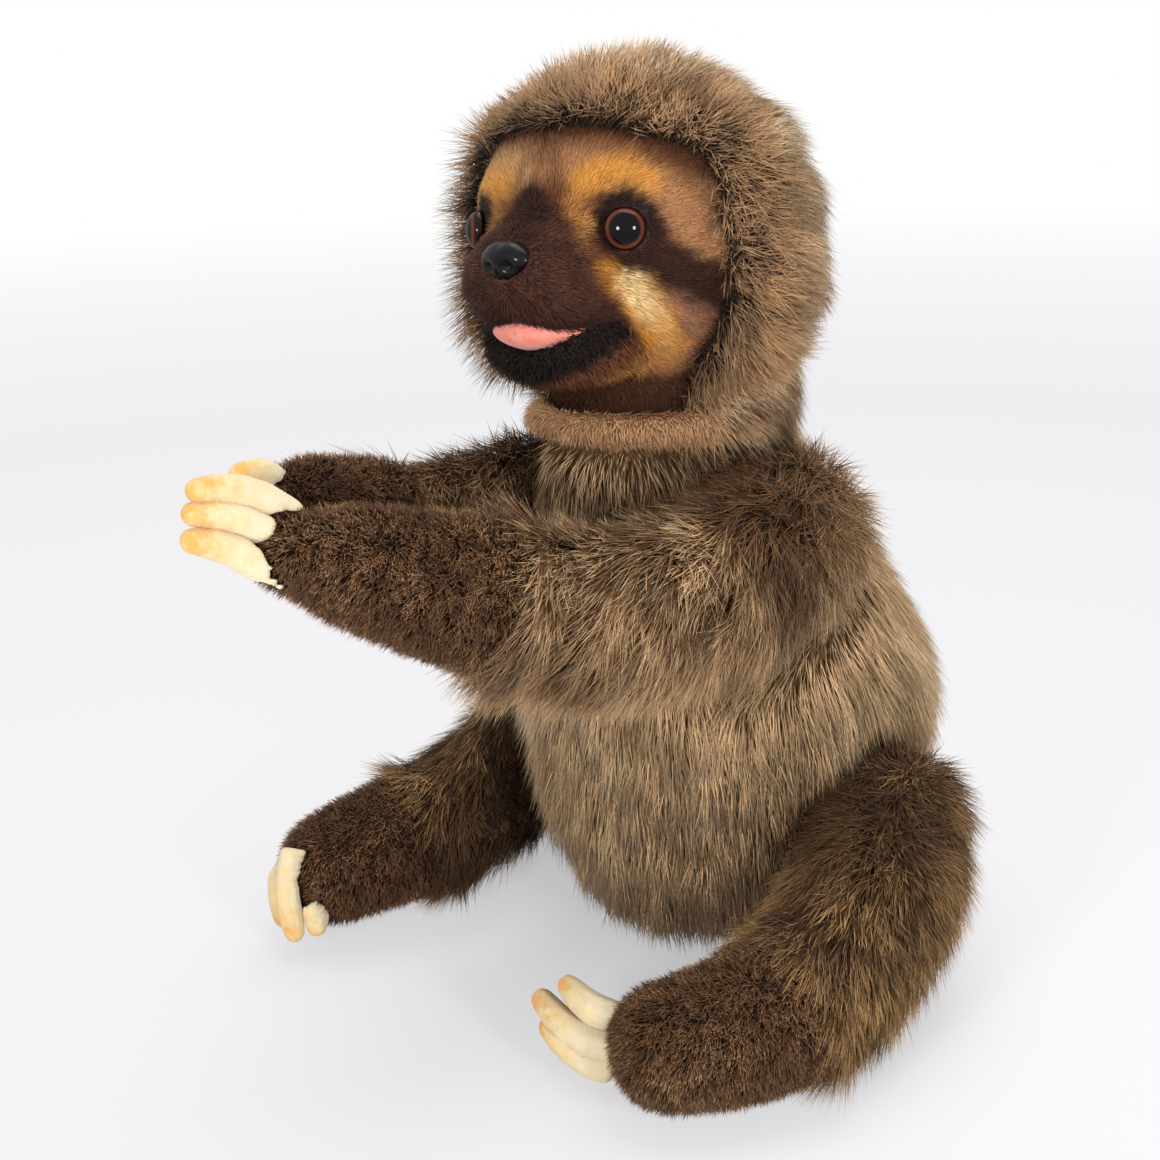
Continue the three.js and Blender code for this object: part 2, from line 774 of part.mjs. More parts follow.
// The skull: a ball with its own reach to the front, back, top and bottom, fuller at the cheeks.
function skullForm(grow, front = HEAD_REACH_SHARE.front) {
  const ball = new THREE.SphereGeometry(1, HEAD_SIDES, HEAD_SIDES / 2);
  ball.rotateX(Math.PI / 2);
  const reach = HEAD_REACH_SHARE;
  const { position } = ball.attributes;
  for (let i = 0; i < position.count; i++) {
    const y = position.getY(i);
    const z = position.getZ(i);
    const fullness = 1 + reach.cheek * Math.sin(Math.PI * Math.sqrt(Math.max(-z, 0)));
    position.setXYZ(
      i,
      position.getX(i) * (reach.across * fullness * TOY_HEIGHT + grow),
      y * ((y < 0 ? front : reach.back) * TOY_HEIGHT + grow),
      z * ((z > 0 ? reach.top : reach.bottom) * TOY_HEIGHT + grow),
    );
  }
  return ball;
}

// The stub that runs from the skull down past the neck joint.
function neckStub(grow) {
  const share = NECK_STUB_SHARE;
  const length = share.length * TOY_HEIGHT;
  const stub = new THREE.CylinderGeometry(1, 1, length, HEAD_SIDES);
  stub.rotateX(Math.PI / 2);
  stub.scale(share.across * TOY_HEIGHT + grow, share.deep * TOY_HEIGHT + grow, 1);
  stub.translate(0, share.y * TOY_HEIGHT, -share.start * TOY_HEIGHT - length / 2);
  return stub;
}

function snoutForm(shares, tipShare, grow) {
  const form = skinOver(
    ringsOf(stationsOf(shares), SIDEWAYS, [0, tipShare * TOY_HEIGHT]),
    SMALL_SIDES * 2,
  );
  return swollen(form, grow);
}

// A peg-mounted plastic piece: the face of it, its peg, and the room both take.
function onFace(geometry, at, turn, lift) {
  const placedOn = new THREE.Matrix4()
    .makeTranslation(at.x, at.y, at.z)
    .multiply(new THREE.Matrix4().makeRotationZ(turn))
    .multiply(new THREE.Matrix4().makeRotationX(lift));
  return geometry.clone().applyMatrix4(placedOn);
}

// The eye as a turned profile about its own axis, which points along -Y out of the face.
function eyeForm(grow) {
  const radius = EYE_RADIUS + grow;
  const profile = [new THREE.Vector2(0, EYE_DOME + grow)];
  for (let k = 1; k < CAP_STEPS; k++) {
    const angle = (k / CAP_STEPS) * (Math.PI / 2);
    profile.push(
      new THREE.Vector2(radius * Math.sin(angle), (EYE_DOME + grow) * Math.cos(angle)),
    );
  }
  profile.push(new THREE.Vector2(radius, 0));
  profile.push(new THREE.Vector2(radius, -EYE_BEZEL - grow));
  profile.push(new THREE.Vector2(PEG_RADIUS + grow, -EYE_BEZEL - grow));
  profile.push(new THREE.Vector2(PEG_RADIUS + grow, -PEG_LENGTH - grow));
  profile.push(new THREE.Vector2(0, -PEG_LENGTH - grow));
  const form = new THREE.LatheGeometry(profile.reverse(), EYE_SIDES);
  form.rotateX(Math.PI);
  return form;
}

function pegWasher(grow) {
  const inner = PEG_RADIUS + FIT_GAP - grow;
  const outer = PEG_WASHER_RADIUS + grow;
  const near = -PEG_WASHER_DEPTH + grow;
  const far = near - PEG_WASHER_THICKNESS - grow * 2;
  const profile = [
    new THREE.Vector2(inner, far),
    new THREE.Vector2(outer, far),
    new THREE.Vector2(outer, near),
    new THREE.Vector2(inner, near),
    new THREE.Vector2(inner, far),
  ];
  const form = new THREE.LatheGeometry(profile, STEM_SIDES);
  form.rotateX(Math.PI);
  return form;
}

function noseForm(grow) {
  const ball = new THREE.SphereGeometry(1, SMALL_SIDES + 2, SMALL_SIDES / 2 + 1);
  ball.rotateX(Math.PI / 2);
  ball.scale(NOSE_WIDTH / 2 + grow, NOSE_DEPTH / 2 + grow, NOSE_HEIGHT / 2 + grow);
  const length = NOSE_DEPTH / 2 + PEG_LENGTH + grow;
  const peg = new THREE.CylinderGeometry(
    PEG_RADIUS + grow,
    PEG_RADIUS + grow,
    length,
    STEM_SIDES,
  );
  peg.translate(0, length / 2, 0);
  return { ball, peg };
}

function makeHead() {
  const skull = (grow) => inHead(skullForm(grow));
  const stub = (grow) => inHead(neckStub(grow));
  const muzzle = (grow) => inHead(snoutForm(MUZZLE_SHARES, MUZZLE_TIP_SHARE, grow));
  const jaw = (grow) => inHead(snoutForm(JAW_SHARES, JAW_TIP_SHARE, grow));

  // A round opening with fuller corners: the power moves its points outwards.
  const squared = (tube, power) => {
    const { position } = tube.attributes;
    const fuller = (v) => Math.sign(v) * Math.abs(v) ** power;
    for (let i = 0; i < position.count; i++) {
      position.setX(i, fuller(position.getX(i)));
      position.setZ(i, fuller(position.getZ(i)));
    }
    return tube;
  };
  const openingShare = FACE_OPENING_SHARE;
  const opening = (grow) => {
    const reach = BEYOND / 4;
    const tube = squared(new THREE.CylinderGeometry(1, 1, reach, HEAD_SIDES), openingShare.square);
    tube.scale(
      openingShare.across * TOY_HEIGHT + grow,
      1,
      openingShare.high * TOY_HEIGHT + grow,
    );
    const end = openingShare.y * TOY_HEIGHT + grow;
    tube.translate(0, end - reach / 2, openingShare.z * TOY_HEIGHT);
    return inHead(tube);
  };

  const throat = (grow) => {
    const share = THROAT_SHARE;
    const stations = [];
    for (let k = 0; k < ARC_STATIONS; k++) {
      const angle = (k / (ARC_STATIONS - 1) - 1 / 2) * toRadians(THROAT_ARC);
      stations.push({
        centre: new THREE.Vector3(
          Math.sin(angle) * share.across * TOY_HEIGHT,
          -Math.cos(angle) * share.reach * TOY_HEIGHT,
          share.z * TOY_HEIGHT,
        ),
        across: THROAT_ROLL_RADIUS,
        deep: THROAT_ROLL_RADIUS,
      });
    }
    const form = skinOver(
      ringsOf(stations, UP, [THROAT_ROLL_RADIUS, THROAT_ROLL_RADIUS], {
        steps: 1,
        capSteps: SMALL_CAP_STEPS,
      }),
      CLAW_SIDES,
    );
    return inHead(swollen(form, grow));
  };

  const mouth = (grow) => {
    const share = MOUTH_SHARE;
    const lens = new THREE.SphereGeometry(1, SMALL_SIDES * 2, SMALL_SIDES / 2);
    lens.rotateX(Math.PI / 2);
    lens.scale(
      share.across * TOY_HEIGHT + grow,
      share.deep * TOY_HEIGHT + grow,
      share.high * TOY_HEIGHT + grow,
    );
    lens.translate(0, share.y * TOY_HEIGHT, share.z * TOY_HEIGHT);
    return inHead(lens);
  };

  // The eyes lie on the face at equal turns to each side.
  const eyeReach = skullReach(EYE_TURN, EYE_LIFT) + FACE_PILE - EYE_SINK;
  const eyeAt = (sign) => {
    const turn = toRadians(EYE_TURN) * sign;
    const lift = toRadians(EYE_LIFT);
    return {
      at: new THREE.Vector3(
        Math.sin(turn) * Math.cos(lift) * eyeReach,
        -Math.cos(turn) * Math.cos(lift) * eyeReach,
        Math.sin(lift) * eyeReach,
      ),
      turn,
      lift: -lift,
    };
  };
  const eyeSolid = (sign, grow) => {
    const { at, turn, lift } = eyeAt(sign);
    return inHead(onFace(eyeForm(grow), at, turn, lift));
  };
  const washerSolid = (sign, grow) => {
    const { at, turn, lift } = eyeAt(sign);
    return inHead(onFace(pegWasher(grow), at, turn, lift));
  };

  const noseAt = placed(NOSE_SHARE);
  const noseSolid = (grow) => {
    const { ball, peg } = noseForm(grow);
    const still = (geometry) => inHead(onFace(geometry, noseAt, 0, 0));
    return still(ball).add(still(peg));
  };
  const noseWasher = (grow) => {
    const form = pegWasher(grow);
    form.translate(0, NOSE_DEPTH / 2, 0);
    return inHead(onFace(form, noseAt, 0, 0));
  };
  const nostril = (sign) => {
    const dent = new THREE.SphereGeometry(NOSTRIL_RADIUS, CLAW_SIDES, CLAW_SIDES / 2);
    dent.translate(
      (sign * NOSE_WIDTH) / 5,
      -NOSE_DEPTH / 2 + NOSTRIL_RADIUS / 3,
      -NOSE_HEIGHT / 8,
    );
    return inHead(onFace(dent, noseAt, 0, 0));
  };

  const underNeck = (offset) => beyondPlane(neck.point, DOWN, -offset);
  const core = skull(-FIT_GAP).add(stub(-FIT_GAP));
  const bare = skull(0).add(stub(0));
  const outerHood = inHead(skullForm(LONG_PILE, HOOD_FRONT_SHARE)).add(stub(LONG_PILE));

  const hood = outerHood
    .subtract(bare.subtract(underNeck(WALL_END)))
    .subtract(opening(0))
    .subtract(throat(FIT_GAP))
    .subtract(underNeck(HALF_GAP))
    .subtract(stemHole(neck));
  const face = skull(FACE_PILE)
    .subtract(skull(0))
    .subtract(stub(0))
    .intersect(opening(-FIT_GAP))
    .subtract(muzzle(MUZZLE_PILE + FIT_GAP))
    .subtract(jaw(MUZZLE_PILE + FIT_GAP))
    .subtract(throat(FIT_GAP))
    .subtract(eyeSolid(1, FIT_GAP))
    .subtract(eyeSolid(-1, FIT_GAP));
  const muzzleCover = muzzle(MUZZLE_PILE)
    .subtract(muzzle(0))
    .subtract(skull(0))
    .subtract(jaw(0))
    .subtract(mouth(FIT_GAP))
    .subtract(noseSolid(FIT_GAP))
    .subtract(eyeSolid(1, FIT_GAP))
    .subtract(eyeSolid(-1, FIT_GAP));
  const lining = mouth(0).subtract(skull(0));
  const jawCover = jaw(MUZZLE_PILE)
    .subtract(jaw(0))
    .subtract(skull(0))
    .subtract(stub(0))
    .subtract(muzzle(MUZZLE_PILE + FIT_GAP))
    .subtract(mouth(FIT_GAP));
  const roll = throat(0).subtract(bare).subtract(face).subtract(underNeck(HALF_GAP));
  const stuffing = core
    .add(muzzle(-FIT_GAP))
    .add(jaw(-FIT_GAP).subtract(muzzle(MUZZLE_PILE + FIT_GAP)))
    .subtract(mouth(FIT_GAP).subtract(skull(-FIT_GAP)))
    .subtract(underNeck(WALL_END + FIT_GAP))
    .subtract(outerRecess(neck))
    .subtract(eyeSolid(1, FIT_GAP))
    .subtract(eyeSolid(-1, FIT_GAP))
    .subtract(washerSolid(1, FIT_GAP))
    .subtract(washerSolid(-1, FIT_GAP))
    .subtract(noseSolid(FIT_GAP))
    .subtract(noseWasher(FIT_GAP));

  keep("head_hood", hood, LONG_FUR, 0.95);
  keep("face_panel", face, FACE_FUR, 0.9);
  keep("muzzle_cover", muzzleCover, MUZZLE_FUR, 0.9);
  keep("jaw_cover", jawCover, MUZZLE_FUR, 0.9);
  keep("mouth_lining", lining, LIP_PINK, 0.8);
  keep("throat_roll", roll, THROAT_TAN, 0.9);
  keep("head_stuffing", stuffing, STUFFING_WHITE, 1);
  keep("eye_left", eyeSolid(1, 0), EYE_BROWN, 0.05);
  keep("eye_right", eyeSolid(-1, 0), EYE_BROWN, 0.05);
  keep("eye_washer_left", washerSolid(1, 0), JOINT_PLASTIC, 0.6);
  keep("eye_washer_right", washerSolid(-1, 0), JOINT_PLASTIC, 0.6);
  keep("nose", noseSolid(0).subtract(nostril(1)).subtract(nostril(-1)), BLACK_PLASTIC, 0.08);
  keep("nose_washer", noseWasher(0), JOINT_PLASTIC, 0.6);
}

// How far the bare skull reaches in a direction of the face.
function skullReach(turn, lift) {
  const a = toRadians(turn);
  const b = toRadians(lift);
  const x = (Math.sin(a) * Math.cos(b)) / (HEAD_REACH_SHARE.across * TOY_HEIGHT);
  const y = (Math.cos(a) * Math.cos(b)) / (HEAD_REACH_SHARE.front * TOY_HEIGHT);
  const z = Math.sin(b) / (HEAD_REACH_SHARE.top * TOY_HEIGHT);
  return 1 / Math.hypot(x, y, z);
}

makeBody();
makeHead();
makeArm("left", leftArm, LEFT_HAND_CLAW_SHARES);
makeArm("right", rightArm, RIGHT_HAND_CLAW_SHARES);
makeLeg("left", leftLeg, LEFT_FOOT_CLAW_SHARES);
makeLeg("right", rightLeg, RIGHT_FOOT_CLAW_SHARES);
for (const joint of joints) {
  const { disc, counter, lock } = jointPieces(joint);
  keep(`${joint.name}_disc`, disc, JOINT_PLASTIC, 0.6);
  keep(`${joint.name}_counter_disc`, counter, JOINT_PLASTIC, 0.6);
  keep(`${joint.name}_lock`, lock, JOINT_PLASTIC, 0.6);
}

const sloth = new THREE.Group();
sloth.name = "plush_sloth";
sloth.add(...meshes);
export default sloth;
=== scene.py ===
"""Looks of the plush sloth: pile, airbrushed face, glass-like eyes, velour claws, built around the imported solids."""
import json
import math

import bmesh
import bpy
import numpy as np
from mathutils import Matrix, Vector
from mathutils.bvhtree import BVHTree


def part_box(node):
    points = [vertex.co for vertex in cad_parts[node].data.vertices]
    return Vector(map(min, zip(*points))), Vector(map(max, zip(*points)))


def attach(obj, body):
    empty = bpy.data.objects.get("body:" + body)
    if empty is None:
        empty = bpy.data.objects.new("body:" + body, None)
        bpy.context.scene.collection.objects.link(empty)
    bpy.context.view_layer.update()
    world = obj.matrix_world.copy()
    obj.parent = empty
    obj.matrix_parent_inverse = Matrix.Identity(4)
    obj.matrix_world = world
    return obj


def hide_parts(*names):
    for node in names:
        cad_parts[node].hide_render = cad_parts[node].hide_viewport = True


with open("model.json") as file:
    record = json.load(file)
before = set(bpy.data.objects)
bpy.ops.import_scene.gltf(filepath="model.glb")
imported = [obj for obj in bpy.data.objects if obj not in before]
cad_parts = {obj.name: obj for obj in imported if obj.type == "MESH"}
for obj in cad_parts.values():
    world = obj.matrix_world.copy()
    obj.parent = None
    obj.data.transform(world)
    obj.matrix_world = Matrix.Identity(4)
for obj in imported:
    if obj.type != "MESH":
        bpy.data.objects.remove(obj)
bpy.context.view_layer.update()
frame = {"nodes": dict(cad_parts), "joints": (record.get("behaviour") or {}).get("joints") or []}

# The studio. The toy is seen from its front left, a little from above, on a white sweep.
# Two round soft boxes stand near the camera and show as two dots in each eye.
# A wide one hangs above and behind.
CAMERA_PLACE = Vector((0.3410, -0.3940, 0.2892))
LOOKING = Vector((-0.68624, 0.65894, -0.30801)).normalized()
TO_RIGHT = Vector((0.69856, 0.71506, -0.02661)).normalized()
LENS_LENGTH, SENSOR_WIDTH = 48.88, 36
TOY_MIDDLE = (0, -0.05, 0.16)
SOFT_BOXES = [
    # name, place, width, watts
    ("left_soft_box", (0.218, -0.995, 0.37), 0.21, 5.6),
    ("right_soft_box", (0.945, -0.268, 0.37), 0.21, 5.6),
    ("top_soft_box", (-0.05, 0.3, 1.15), 1.2, 12),
]
SKY_LIGHT, BACKDROP_LIGHT = 0.5, 1.0
WHITE = (1, 1, 1, 1)


def placed(name, data):
    """A new object in the scene."""
    made = bpy.data.objects.new(name, data)
    bpy.context.scene.collection.objects.link(made)
    return made


camera_data = bpy.data.cameras.new("camera")
camera_data.lens, camera_data.sensor_width = LENS_LENGTH, SENSOR_WIDTH
camera = placed("camera", camera_data)
camera_axes = Matrix((TO_RIGHT, TO_RIGHT.cross(LOOKING).normalized(), -LOOKING)).transposed().to_4x4()
camera.matrix_world = Matrix.Translation(CAMERA_PLACE) @ camera_axes
bpy.context.scene.camera = camera
bpy.context.scene.view_settings.view_transform = "Standard"

for name, place, width, watts in SOFT_BOXES:
    light = bpy.data.lights.new(name, "AREA")
    light.shape = "DISK"
    light.size, light.energy = width, watts
    soft_box = placed(name, light)
    soft_box.location = place
    soft_box.rotation_euler = (Vector(TOY_MIDDLE) - Vector(place)).to_track_quat("-Z", "Y").to_euler()


def links(tree, node, inputs):
    """Gives a node its values and its links."""
    for key, value in inputs.items():
        if isinstance(value, bpy.types.NodeSocket):
            tree.links.new(value, node.inputs[key])
        else:
            node.inputs[key].default_value = value


def add(tree, kind, inputs=None, **settings):
    """Adds a node, with its settings, its values and its links."""
    node = tree.nodes.new(kind)
    for key, value in settings.items():
        setattr(node, key, value)
    links(tree, node, inputs or {})
    return node


def maths(tree, kind, *values, clamp=False):
    """A sum on numbers or links, as its output."""
    return add(tree, "ShaderNodeMath", dict(enumerate(values)), operation=kind, use_clamp=clamp).outputs[0]


def shows_backdrop(tree):
    """1 for the rays that see the backdrop: the camera's, and those that gloss and glass send on."""
    path = add(tree, "ShaderNodeLightPath").outputs
    seen = maths(tree, "MAXIMUM", path["Is Camera Ray"], path["Is Glossy Ray"])
    return maths(tree, "MAXIMUM", seen, path["Is Transmission Ray"])


world = bpy.data.worlds.new("studio")
bpy.context.scene.world = world
world.use_nodes = True
sky = world.node_tree
sky.nodes.clear()
lighting = add(sky, "ShaderNodeBackground", {"Color": WHITE, "Strength": SKY_LIGHT}).outputs[0]
backdrop = add(sky, "ShaderNodeBackground", {"Color": WHITE, "Strength": BACKDROP_LIGHT}).outputs[0]
both = add(sky, "ShaderNodeMixShader", {0: shows_backdrop(sky), 1: lighting, 2: backdrop}).outputs[0]
add(sky, "ShaderNodeOutputWorld", {"Surface": both})


# The white sweep under the toy: grey paper that takes its shadow, fading into the backdrop further out.
# It glows more and more further out, so that the fade has no edge. The glow is painted light: part of the paper right
# under the toy glows too, which lightens the toy's cast shadow.
FLOOR_REACH = 4
PAPER_COLOUR = (0.68, 0.68, 0.69, 1)
# Painted light: the fade starts below nought, so the paper under the toy already glows in part.
FADE_START, FADE_END = -0.4, 0.55
GLOW_PER_METRE = 0.33
# Painted shade: the glow's colours grey the sweep in a band, greyest about a metre out.
GLOW_COLOURS = [(0.05, (0.925, 0.92, 0.94, 1)), (0.3, (0.86, 0.855, 0.88, 1)), (0.95, WHITE)]


def new_material(name):
    """A new material, with its node tree and its surface node."""
    made = bpy.data.materials.new(name)
    made.use_nodes = True
    return made, made.node_tree, made.node_tree.nodes["Principled BSDF"]


def object_place(tree):
    """Where on its object a point lies."""
    return add(tree, "ShaderNodeTexCoord").outputs["Object"]


def ramp(tree, value, colours):
    """A colour ramp through places and colours, as its output."""
    made = add(tree, "ShaderNodeValToRGB", {0: value})
    stops = made.color_ramp.elements
    stops[0].position, stops[0].color = colours[0]
    stops[1].position, stops[1].color = colours[-1]
    for place, colour in colours[1:-1]:
        stops.new(place).color = colour
    return made.outputs[0]


floor_mesh = bpy.data.meshes.new("floor")
corners = [(x * FLOOR_REACH, y * FLOOR_REACH, 0) for x, y in ((-1, -1), (1, -1), (1, 1), (-1, 1))]
floor_mesh.from_pydata(corners, [], [(0, 1, 2, 3)])
floor = placed("floor", floor_mesh)
white, sweep, paper = new_material("white_sweep")
links(sweep, paper, {"Base Color": PAPER_COLOUR, "Roughness": 0.95, "Specular IOR Level": 0})
from_toy = add(sweep, "ShaderNodeVectorMath", {0: object_place(sweep)}, operation="LENGTH").outputs["Value"]
fade = {"Value": from_toy, "From Min": FADE_START, "From Max": FADE_END}
far_off = add(sweep, "ShaderNodeMapRange", fade, interpolation_type="SMOOTHSTEP").outputs[0]
far_off = maths(sweep, "MULTIPLY", far_off, shows_backdrop(sweep))
glow_colour = ramp(sweep, maths(sweep, "MULTIPLY", from_toy, GLOW_PER_METRE), GLOW_COLOURS)
glow = add(sweep, "ShaderNodeEmission", {"Color": glow_colour}).outputs[0]
blended = add(sweep, "ShaderNodeMixShader", {0: far_off, 1: paper.outputs[0], 2: glow}).outputs[0]
sweep.links.new(blended, sweep.nodes["Material Output"].inputs["Surface"])
floor_mesh.materials.append(white)


# The stuffed forms under the pile. Each is its stuffing's solid, made smooth and round again,
# and padded out to where the backing cloth lies. They are closed cushions that the tufts are rooted in.
FORM_FLOOR = 0.0005


def joined(nodes):
    """Some CAD nodes in one bmesh."""
    solids = bmesh.new()
    for node in nodes:
        solids.from_mesh(frame["nodes"][node].data)
    return solids


def baked(made):
    """Turns an object with modifiers into a plain mesh."""
    bpy.context.view_layer.update()
    seen_by = bpy.context.evaluated_depsgraph_get()
    mesh = bpy.data.meshes.new_from_object(made.evaluated_get(seen_by))
    made.modifiers.clear()
    old = made.data
    made.data = mesh
    bpy.data.meshes.remove(old)
    mesh.name = made.name


def lit_smooth(made):
    made.data.polygons.foreach_set("use_smooth", [True] * len(made.data.polygons))


def smooth_form(name, nodes, voxel, rounds):
    """One closed smooth mesh around CAD nodes."""
    mesh = bpy.data.meshes.new(name)
    solids = joined(nodes)
    solids.to_mesh(mesh)
    solids.free()
    made = placed(name, mesh)
    remesh = made.modifiers.new("Remesh", "REMESH")
    remesh.mode = "VOXEL"
    remesh.voxel_size = voxel
    rounded = made.modifiers.new("Round", "SMOOTH")
    rounded.factor = 0.5
    rounded.iterations = rounds
    baked(made)
    lit_smooth(made)
    return made


def rows_of(values, key):
    out = np.empty(len(values) * 3, np.float32)
    values.foreach_get(key, out)
    return out.reshape(-1, 3).astype(float)


def places(made):
    return rows_of(made.data.vertices, "co")


def facings(made):
    return rows_of(made.data.vertex_normals, "vector")


def reshaped(made, at):
    """Moves the points of a form to new places."""
    made.data.vertices.foreach_set("co", at.astype(np.float32).ravel())
    made.data.update()


def padded_out(made, amount):
    """Moves every point out along its normal by an amount for each point, and keeps it off the floor."""
    at = places(made)
    at += facings(made) * np.asarray(amount, float).reshape(-1, 1)
    at[:, 2] = np.maximum(at[:, 2], FORM_FLOOR)
    reshaped(made, at)


def step(value, start, end):
    """0 before start, 1 after end, smooth between them."""
    t = np.clip((np.asarray(value, float) - start) / (end - start), 0, 1)
    return t * t * (3 - 2 * t)


def unit(rows):
    return rows / np.maximum(np.linalg.norm(rows, axis=1, keepdims=True), 1e-9)


def surface_of(nodes):
    """Some CAD nodes as a tree that finds the nearest place on them."""
    solids = joined(nodes)
    tree = BVHTree.FromBMesh(solids)
    solids.free()
    return tree


def gap_to(at, nodes):
    """How far each point is from the nearest surface of some CAD nodes."""
    tree = surface_of(nodes)
    return np.array([tree.find_nearest(Vector(p))[3] for p in at])


def room_over(made, nodes, far):
    """How far each point of a form is below the outside of some CAD nodes, along its normal."""
    tree = surface_of(nodes)
    pairs = zip(places(made), facings(made))
    hits = [tree.ray_cast(Vector(p + n * far), Vector(-n), far)[3] for p, n in pairs]
    return np.array([np.nan if hit is None else far - hit for hit in hits])


def evened(made, values, rounds):
    """Evens a value out over a form: each point takes the mean of its neighbours."""
    ends = np.empty(len(made.data.edges) * 2, np.int32)
    made.data.edges.foreach_get("vertices", ends)
    a, b = ends.reshape(-1, 2).T
    size = len(values)
    count = np.bincount(a, minlength=size) + np.bincount(b, minlength=size)
    for _ in range(rounds):
        values = (np.bincount(a, values[b], size) + np.bincount(b, values[a], size)) / count
    return values


def marked(made, name, values, kind="FLOAT"):
    """Writes a value on each point of a form."""
    layer = made.data.attributes.new(name, kind, "POINT")
    key = "value" if kind == "FLOAT" else "vector"
    layer.data.foreach_set(key, np.asarray(values, np.float32).ravel())


def groomed(made, comb, pile, shade, flat=1.0):
    """Writes on each point of a form which way its pile lies, how flat and how long it is, and how dark."""
    facing = facings(made)
    comb = np.asarray(comb, float)
    comb = unit(comb - facing * np.sum(comb * facing, axis=1, keepdims=True))
    marked(made, "comb", comb * np.broadcast_to(flat, len(facing))[:, None], "FLOAT_VECTOR")
    marked(made, "pile", pile)
    marked(made, "shade", shade)


# The pile. One tuft is a closed, tapering blade a few hairs wide; a Geometry Nodes tree plants it all over a form.
# It leans with the comb, ruffles in locks, varies in length, bends under its own weight and stays above the floor.
LONG_WIDEST = 0.36
LOOK_SOCKETS = ("Length", "Width", "Lean", "Ruffle", "Lock size", "Clump", "Stray", "Droop")
PILE_SOCKETS = {
    "Tuft": "Object", "Spacing": "Float", "Density": "Float", "Seed": "Int",
    **dict.fromkeys(LOOK_SOCKETS, "Float"), "Cells": "Int", "Material": "Material",
}
PILES = {
    # length, width, lean, ruffle, lock size, clump, stray, droop
    "body": (0.0135, 0.0004, 0.68, 0.85, 0.0055, 0.45, 0.26, 0.5),
    "arm": (0.015, 0.00038, 0.6, 1.0, 0.0055, 0.65, 0.34, 0.5),
    "leg": (0.0135, 0.00038, 0.6, 1.0, 0.0055, 0.65, 0.34, 0.5),
    "paw": (0.0046, 0.0005, 0.3, 1.1, 0.0024, 0.7, 0.5, 0.3),
    "hood": (0.0145, 0.00038, 0.62, 0.5, 0.005, 0.5, 0.22, 0.5),
    "face": (0.0027, 0.00042, 0.72, 0.2, 0.003, 0.2, 0.12, 0.2),
    "muzzle": (0.0032, 0.00045, 0.66, 0.6, 0.003, 0.3, 0.15, 0.2),
    "jaw": (0.0034, 0.0005, 0.45, 1.0, 0.0022, 0.5, 0.4, 0.2),
    "throat": (0.0036, 0.00045, 0.6, 0.4, 0.004, 0.4, 0.2, 0.3),
}
SPACING_SHARE, TRIES_PER_TUFT, SPARE_CELLS = 0.62, 5, 1.25
STRAY_TURN, LENGTH_TURN, WIDTH_TURN, TONE_TURN = 11, 23, 37, 51
LENGTH_SPREAD, WIDTH_SPREAD = (0.72, 1.12), (0.7, 1.25)
LOCK_TONE, TUFT_TONE = 0.55, 0.45
DENSE_FROM = 0.25
LOCK_SHARE = 0.45
HANG_ALONG, HANG_DOWN, HANG_IN, HANG_LOCK = 0.75, -0.35, -0.25, 0.9
BEND_POWER = 1.8
TUFT_FLOOR = 0.0004
CELL_FILLED, CELL_EDGE = 0.9, 0.05


def tuft(name, widest):
    """A closed three-sided blade of length 1, widest at a share of it, each side with a strip of its own map."""
    points = [(-0.5, 0, widest), (0.5, 0, widest), (0, 0.42, widest), (0, 0.1, 1)]
    faces, corners = [], []
    across = 0.1 + 0.9 * widest
    for k in range(3):
        low, high = (k + 0.03) / 3, (k + 0.97) / 3
        faces.append((k, (k + 1) % 3, 3))
        corners.append([(low, across), (high, across), ((low + high) / 2, 1)])
        if widest:
            faces.append(((k + 1) % 3, k, 4))
            corners.append([(high, across), (low, across), ((low + high) / 2, 0.1)])
    if widest:
        points.append((0, 0.1, 0))
    else:
        faces.append((0, 2, 1))
        corners.append([(0.1, 0), (0.5, 0.07), (0.9, 0)])
    mesh = bpy.data.meshes.new(name)
    mesh.from_pydata(points, [], faces, shade_flat=False)
    own_map = mesh.uv_layers.new(name="OFBake")
    own_map.data.foreach_set("uv", [c for face in corners for uv in face for c in uv])
    made = bpy.data.objects.new(name, mesh)
    marked(made, "along", [p[2] for p in points])
    return made


long_tuft, short_tuft = tuft("long_tuft", LONG_WIDEST), tuft("short_tuft", 0)


def scaled(tree, vector, scale):
    return add(tree, "ShaderNodeVectorMath", {0: vector, "Scale": scale}, operation="SCALE").outputs[0]


